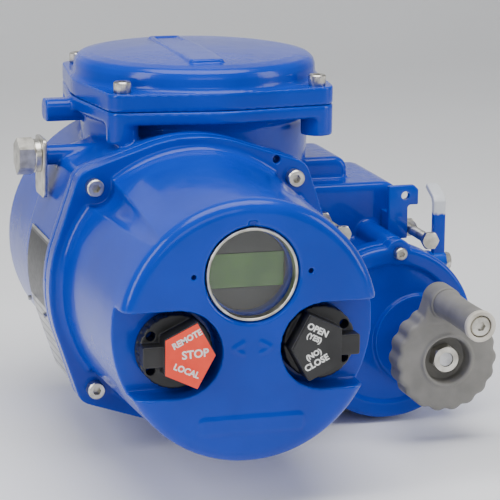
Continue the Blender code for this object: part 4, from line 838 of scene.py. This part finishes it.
def hand_parts():
    wheel_nut = nut(0.019, "Y", SHAFT, WHEEL_FRONT + 0.0025, WHEEL_FRONT + 0.0116, math.radians(18), 0.0055, 0.0014)
    finished(wheel_nut, "wheel_nut", "hand_drive", ZINC, ["handwheel_nut"])
    low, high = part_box("spinner_grip")
    root, tip = high.y, low.y
    profile = [(0.0045, root), (0.0108, root), (0.0113, root - 0.0006), (0.0111, root - 0.004), (0.0106, root - 0.012)]
    profile += [(0.0103, root - 0.024), (0.0104, root - 0.040), (0.0109, tip + 0.0030), (0.0106, tip + 0.0004), (0.0101, tip), (0.0045, tip)]
    grip = turned(profile, "Y", SPINNER, 96)
    finished(smooth(grip, 50), "grip_moulding", "spinner", GREY, ["spinner_grip"])
    low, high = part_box("spinner_washer")
    rim = [(0.0082, high.y), (0.0112, high.y), (0.0115, high.y - 0.0005), (0.0115, low.y + 0.0010), (0.0108, low.y), (0.0088, low.y), (0.0082, low.y + 0.0006)]
    finished(smooth(turned(rim, "Y", SPINNER, 96), 50), "grip_washer", "spinner", CREAM, ["spinner_washer"])
    head = [(0, low.y + 0.0008), (0.0067, low.y + 0.0008), (0.0075, low.y + 0.0016), (0.0075, low.y + 0.0042), (0.0040, low.y + 0.0043)]
    bolt = turned(head + [(0.0040, WHEEL_BACK - 0.006), (0, WHEEL_BACK - 0.006)], "Y", SPINNER, 64)
    combine(bolt, [slab(polygon(0.0036, 6, SPINNER), "Y", low.y, low.y + 0.0034)], "DIFFERENCE")
    finished(smooth(bolt), "grip_bolt", "hand_drive", ZINC, ["spinner_bolt"])


hand_parts()

# %% [markdown]
# ## Lever, tab and small iron
# The hand/auto lever is a bent bar, painted on its shank and bare at its tip, where hands wear it. The
# padlock tab, the stop bolts and the earth bolt are plain hexagon and plate work with broken edges.

# %% The hand lever and its pivot bolt
def lever():
    low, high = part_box("hand_lever")
    y, z = PIVOT
    half, top = 0.0026, z + 0.048
    bar = [(y + half, z), (y + half, top - 0.002), (y + 0.0045, top + 0.0014), (y + 0.018, top + 0.0075), (y + 0.0155, top + 0.0115)]
    bar += [(y + 0.0010, top + 0.0046), (y - half, top + 0.0005), (y - half, z)]
    body = slab(bar, "X", low.x, high.x, 0.0009)
    combine(body, [rod(0.0075, "X", (y, z), low.x, high.x, 64)], "UNION")
    combine(body, [rod(0.0046, "X", (y, z), low.x - 0.001, high.x + 0.001, 40)], "DIFFERENCE")
    finish = ENAMEL.copy()
    finish.name = "lever_enamel_worn_tip"
    tree = finish.node_tree
    shader = tree.nodes["Principled BSDF"]
    spot = tree.nodes.new("ShaderNodeSeparateXYZ")
    link(tree, tree.nodes.new("ShaderNodeTexCoord").outputs["Object"], spot.inputs[0])
    edge = tree.nodes.new("ShaderNodeMath")
    edge.operation = "ADD"
    link(tree, spot.outputs["Z"], edge.inputs[0])
    link(tree, spread(tree, noise(tree, 140, 4), -0.004, 0.004), edge.inputs[1])
    worn = tree.nodes.new("ShaderNodeMapRange")
    worn.inputs["From Min"].default_value, worn.inputs["From Max"].default_value = top - 0.010, top - 0.0085
    link(tree, edge.outputs[0], worn.inputs["Value"])
    base = shader.inputs["Base Color"].links[0].from_socket
    link(tree, blended(tree, worn.outputs["Result"], base, (0.62, 0.64, 0.66)), shader.inputs["Base Color"])
    finished(smooth(body), "hand_lever_bar", "lever", finish, ["hand_lever"])
    bolt = nut(0.0125, "X", PIVOT, high.x + 0.0003, high.x + 0.0045)
    combine(bolt, [rod(0.004, "X", PIVOT, low.x - 0.012, high.x + 0.001, 24)], "UNION")
    finished(smooth(bolt), "lever_bolt", "housing", ZINC, ["lever_pivot_bolt"])


lever()


# %% The padlock tab and the stop bolts
def tab_and_stops():
    right, front, back, foot = SHAFT[0] + 0.0085, -0.0405, -0.0355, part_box("padlock_tab")[0].z
    outline = [(right - 0.0158, foot), (right, foot), (right, 0.1565), (right + 0.0015, 0.158), (right + 0.0085, 0.158)]
    outline += [(right + 0.0085, 0.1700), (right + 0.0050, 0.1735), (right - 0.0158, 0.1735)]
    tab = slab(outline, "Y", front, back, 0.0009)
    combine(tab, [block((right - 0.0158, front + 0.001, foot), (right - 0.0108, -0.0223, 0.152), 0.0006)], "UNION")
    combine(tab, [rod(0.0034, "Y", (right - 0.0022, 0.1655), front - 0.001, back + 0.001, 40)], "DIFFERENCE")
    finished(smooth(tab), "padlock_tab_plate", "housing", ENAMEL, ["padlock_tab"])
    for number, place in enumerate(STOPS, 1):
        low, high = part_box(f"stop_bolt_{number}")
        bolt = nut(0.0125, "Y", place, low.y, low.y + 0.005)
        thread = []
        for turn in range(int(0.038 / 0.00125)):
            start = low.y + 0.006 + turn * 0.00125
            thread += [(0.0040, start), (0.0037, start + 0.00062)]
        shank = [(0, low.y + 0.004), (0.0040, low.y + 0.004), *thread, (0.0040, high.y), (0, high.y)]
        combine(bolt, [turned(shank, "Y", place, 40), nut(0.0130, "Y", place, high.y - 0.0150, high.y - 0.0083)], "UNION")
        finished(smooth(bolt, 25), f"stop_screw_{number}", "housing", ZINC, [f"stop_bolt_{number}"])


tab_and_stops()


# %% The earth connection and the conduit plugs
def earth_and_plugs():
    low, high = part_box("earth_plate")
    y, z = EARTH
    plate = slab(rounded((low.y, low.z), (high.y, high.z), 0.005), "X", low.x, high.x, 0.0006)
    combine(plate, [rod(0.0045, "X", EARTH, low.x - 0.001, high.x + 0.001, 40)], "DIFFERENCE")
    finished(smooth(plate), "earth_strap_plate", "housing", ZINC, ["earth_plate"])
    bolt_low, bolt_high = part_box("earth_bolt")
    bolt = nut(0.0242, "X", EARTH, bolt_low.x, low.x - 0.0045, math.radians(30), 0, 0.0016)
    washer = turned([(0, low.x - 0.0048), (0.0121, low.x - 0.0048), (0.0125, low.x - 0.0043), (0.0125, low.x - 0.0003), (0, low.x - 0.0003)], "X", EARTH, 72)
    combine(bolt, [washer, rod(0.004, "X", EARTH, low.x - 0.005, bolt_high.x, 24)], "UNION")
    finished(smooth(bolt), "earth_screw", "housing", ZINC, ["earth_bolt"])
    for number, (x, z) in enumerate(CONDUITS, 1):
        low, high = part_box(f"conduit_plug_{number}")
        plug = nut(0.0285, "Y", (x, z), high.y - 0.0057, high.y, 0, 0, 0.0014)
        combine(plug, [rod(0.0122, "Y", (x, z), low.y, high.y - 0.005, 48)], "UNION")
        combine(plug, [slab(polygon(0.0060, 6, (x, z)), "Y", high.y - 0.004, high.y + 0.001)], "DIFFERENCE")
        finished(smooth(plug), f"entry_plug_{number}", "housing", ZINC, [f"conduit_plug_{number}"])


earth_and_plugs()

# %% [markdown]
# ## The nameplate
# A thin printed plate is bent round the left of the housing and held by small drive rivets. Its upper part is
# black and its lower part is bare, with ruled lines where the data would be. It carries no words.

# %% The nameplate and its rivets
RIVET_INSET = 0.0035


def plate_finish(low, high):
    material = surface("printed_plate", (0.40, 0.40, 0.40), (0.58, 0.58, 0.57), (0.25, 0.4), 0.9, 60, (900, 0.00002))
    tree = material.node_tree
    shader = tree.nodes["Principled BSDF"]
    spot = tree.nodes.new("ShaderNodeSeparateXYZ")
    link(tree, tree.nodes.new("ShaderNodeTexCoord").outputs["Object"], spot.inputs[0])
    share = tree.nodes.new("ShaderNodeMapRange")
    share.inputs["From Min"].default_value, share.inputs["From Max"].default_value = low, high
    link(tree, spot.outputs["Z"], share.inputs["Value"])
    black = ramp(tree, share.outputs["Result"], [(0.53, (0, 0, 0)), (0.535, (1, 1, 1)), (0.955, (1, 1, 1)), (0.96, (0, 0, 0))])
    waves = tree.nodes.new("ShaderNodeTexWave")
    waves.bands_direction = "Z"
    waves.inputs["Scale"].default_value = 40
    link(tree, tree.nodes.new("ShaderNodeTexCoord").outputs["Object"], waves.inputs["Vector"])
    lines = ramp(tree, waves.outputs["Fac"], [(0.90, (0, 0, 0)), (0.96, (0.8, 0.8, 0.8))])
    base = shader.inputs["Base Color"].links[0].from_socket
    ruled = blended(tree, lines, base, (0.03, 0.03, 0.03))
    link(tree, blended(tree, black, ruled, (0.012, 0.012, 0.014)), shader.inputs["Base Color"])
    return material


def nameplate():
    low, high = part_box("nameplate")

    def edge(grow):
        shape = eared(0.108, 0.013, CONTROL, -0.004 + grow, 360)
        return [(x, z) for x, z in shape if x < CONTROL[0] - 0.070 and low.z < z < high.z]

    inner, outer = edge(0.0004), edge(0.0012)
    plate = slab(inner + outer[::-1], "Y", low.y, high.y)
    finished(smooth(plate, 50), "data_plate", "housing", plate_finish(low.z, high.z), ["nameplate"])
    left = min(x for x, _ in outer)
    dome = [(0, left + 0.002), (0.0019, left + 0.002), (0.0019, left - 0.0001), (0.0013, left - 0.0006), (0, left - 0.0008)]
    for number, depth in enumerate((low.y + RIVET_INSET, high.y - RIVET_INSET), 1):
        rivet = turned(dome, "X", (depth, (low.z + high.z) / 2), 32)
        finished(smooth(rivet), f"plate_rivet_{number}", "housing", STEEL)


nameplate()

# %% [markdown]
# ## Inside
# The gears, boards and bearings are right as the frame has them. They only need their own finishes.

# %% Finishes for the nodes that stay as they are
def board_finish():
    material = surface("lacquered_board", (0.012, 0.10, 0.040), (0.022, 0.17, 0.070), (0.25, 0.45), drift=60, grain=(700, 0.00004))
    tree = material.node_tree
    shader = tree.nodes["Principled BSDF"]
    cells = tree.nodes.new("ShaderNodeTexVoronoi")
    cells.feature, cells.distance = "DISTANCE_TO_EDGE", "EUCLIDEAN"
    cells.inputs["Scale"].default_value = 260
    link(tree, tree.nodes.new("ShaderNodeTexCoord").outputs["Object"], cells.inputs["Vector"])
    tracks = ramp(tree, cells.outputs["Distance"], [(0.04, (0.7, 0.7, 0.7)), (0.07, (0, 0, 0))])
    base = shader.inputs["Base Color"].links[0].from_socket
    link(tree, blended(tree, tracks, base, (0.35, 0.30, 0.10)), shader.inputs["Base Color"])
    return material


BOARD = board_finish()
INSIDE = {
    BRONZE: ["worm_wheel"],
    CAN: ["motor_body"],
    BLACK: ["terminal_block"],
    RUBBER: ["output_seal", "shaft_seal", "control_cover_seal", "terminal_cover_seal"],
    BOARD: ["control_board", "power_board"],
    STEEL: ["base_flange", "drive_bush", "worm_shaft", "worm_front_bearing", "worm_rear_bearing", "output_bearing"]
    + ["worm_spur_gear", "motor_rotor", "mode_spindle", "command_spindle"],
}
for material, names in INSIDE.items():
    for name in names:
        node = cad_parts[name]
        node.data.materials.clear()
        node.data.materials.append(material)
print(sum(len(names) for names in INSIDE.values()), "nodes keep their shape")

# %% [markdown]
# ## The studio
# A pale floor that curves up into a backdrop, large soft lights from above and both sides, and a long lens
# from the front left, a little above.

# %% Floor, lights and camera
def studio():
    bpy.ops.object.select_all(action="DESELECT")
    sweep = [(-3.0, -0.0005), (1.6, -0.0005)]
    for step in range(1, 13):
        angle = math.radians(90 * step / 12)
        sweep.append((1.6 + 0.8 * math.sin(angle), 0.8 * (1 - math.cos(angle))))
    sweep.append((2.4, 4.0))
    bpy.ops.mesh.primitive_grid_add(x_subdivisions=1, y_subdivisions=len(sweep) - 1, size=1)
    floor = bpy.context.object
    floor.name = "studio_sweep"
    rows = sorted({round(vertex.co.y, 5) for vertex in floor.data.vertices})
    for vertex in floor.data.vertices:
        depth, height = sweep[rows.index(round(vertex.co.y, 5))]
        vertex.co = (8.0 * vertex.co.x, depth, height)
    smooth(floor, 60)
    floor.data.materials.append(surface("pale_sweep", (0.92, 0.92, 0.92), (0.95, 0.95, 0.95), (0.5, 0.6), drift=2, grain=(60, 0.0002)))


def soft_light(name, place, target, size, power):
    lamp = bpy.data.lights.new(name, "AREA")
    lamp.shape, lamp.size, lamp.size_y, lamp.energy = "RECTANGLE", size[0], size[1], power
    holder = bpy.data.objects.new(name, lamp)
    bpy.context.scene.collection.objects.link(holder)
    holder.location = place
    holder.rotation_euler = (Vector(target) - Vector(place)).to_track_quat("-Z", "Y").to_euler()
    return holder


def camera():
    back = Vector((-0.25525, -0.93730, 0.23731))
    right = Vector((0.96487, -0.26276, 0.0))
    up = back.cross(right)
    roll = math.radians(0.233)
    right, up = right * math.cos(roll) + up * math.sin(roll), up * math.cos(roll) - right * math.sin(roll)
    focal = 2461.0  # in hundredths of the frame's fifth
    forward = (-back * focal + right * 55.8 + up * 32.2).normalized()
    lens = bpy.data.cameras.new("long_lens")
    lens.sensor_width, lens.lens = 36.0, 36.0 * focal / 500.0
    lens.clip_start, lens.clip_end = 0.1, 30.0
    holder = bpy.data.objects.new("long_lens", lens)
    bpy.context.scene.collection.objects.link(holder)
    side = forward.cross(up).normalized()
    top = side.cross(forward)
    rows = [(side[i], top[i], -forward[i], place) for i, place in enumerate((-0.5765, -1.8051, 0.5532))]
    holder.matrix_world = Matrix([*rows, (0, 0, 0, 1)])
    bpy.context.scene.camera = holder


studio()
soft_light("overhead", (-0.1, -0.3, 1.6), (-0.05, -0.1, 0.12), (1.4, 1.0), 26)
soft_light("left_wall", (-1.5, -0.6, 0.9), (-0.1, -0.1, 0.13), (0.5, 1.3), 15)
soft_light("right_wall", (1.5, -0.9, 0.8), (-0.1, -0.1, 0.13), (0.6, 1.2), 12)
soft_light("front_fill", (-0.3, -2.6, 1.2), (-0.05, -0.1, 0.12), (1.6, 0.9), 9)
camera()
world = bpy.data.worlds.new("studio_air")
bpy.context.scene.world = world
world.use_nodes = True
world.node_tree.nodes["Background"].inputs["Color"].default_value = (0.92, 0.95, 1.0, 1)
world.node_tree.nodes["Background"].inputs["Strength"].default_value = 0.34
print("studio ready")
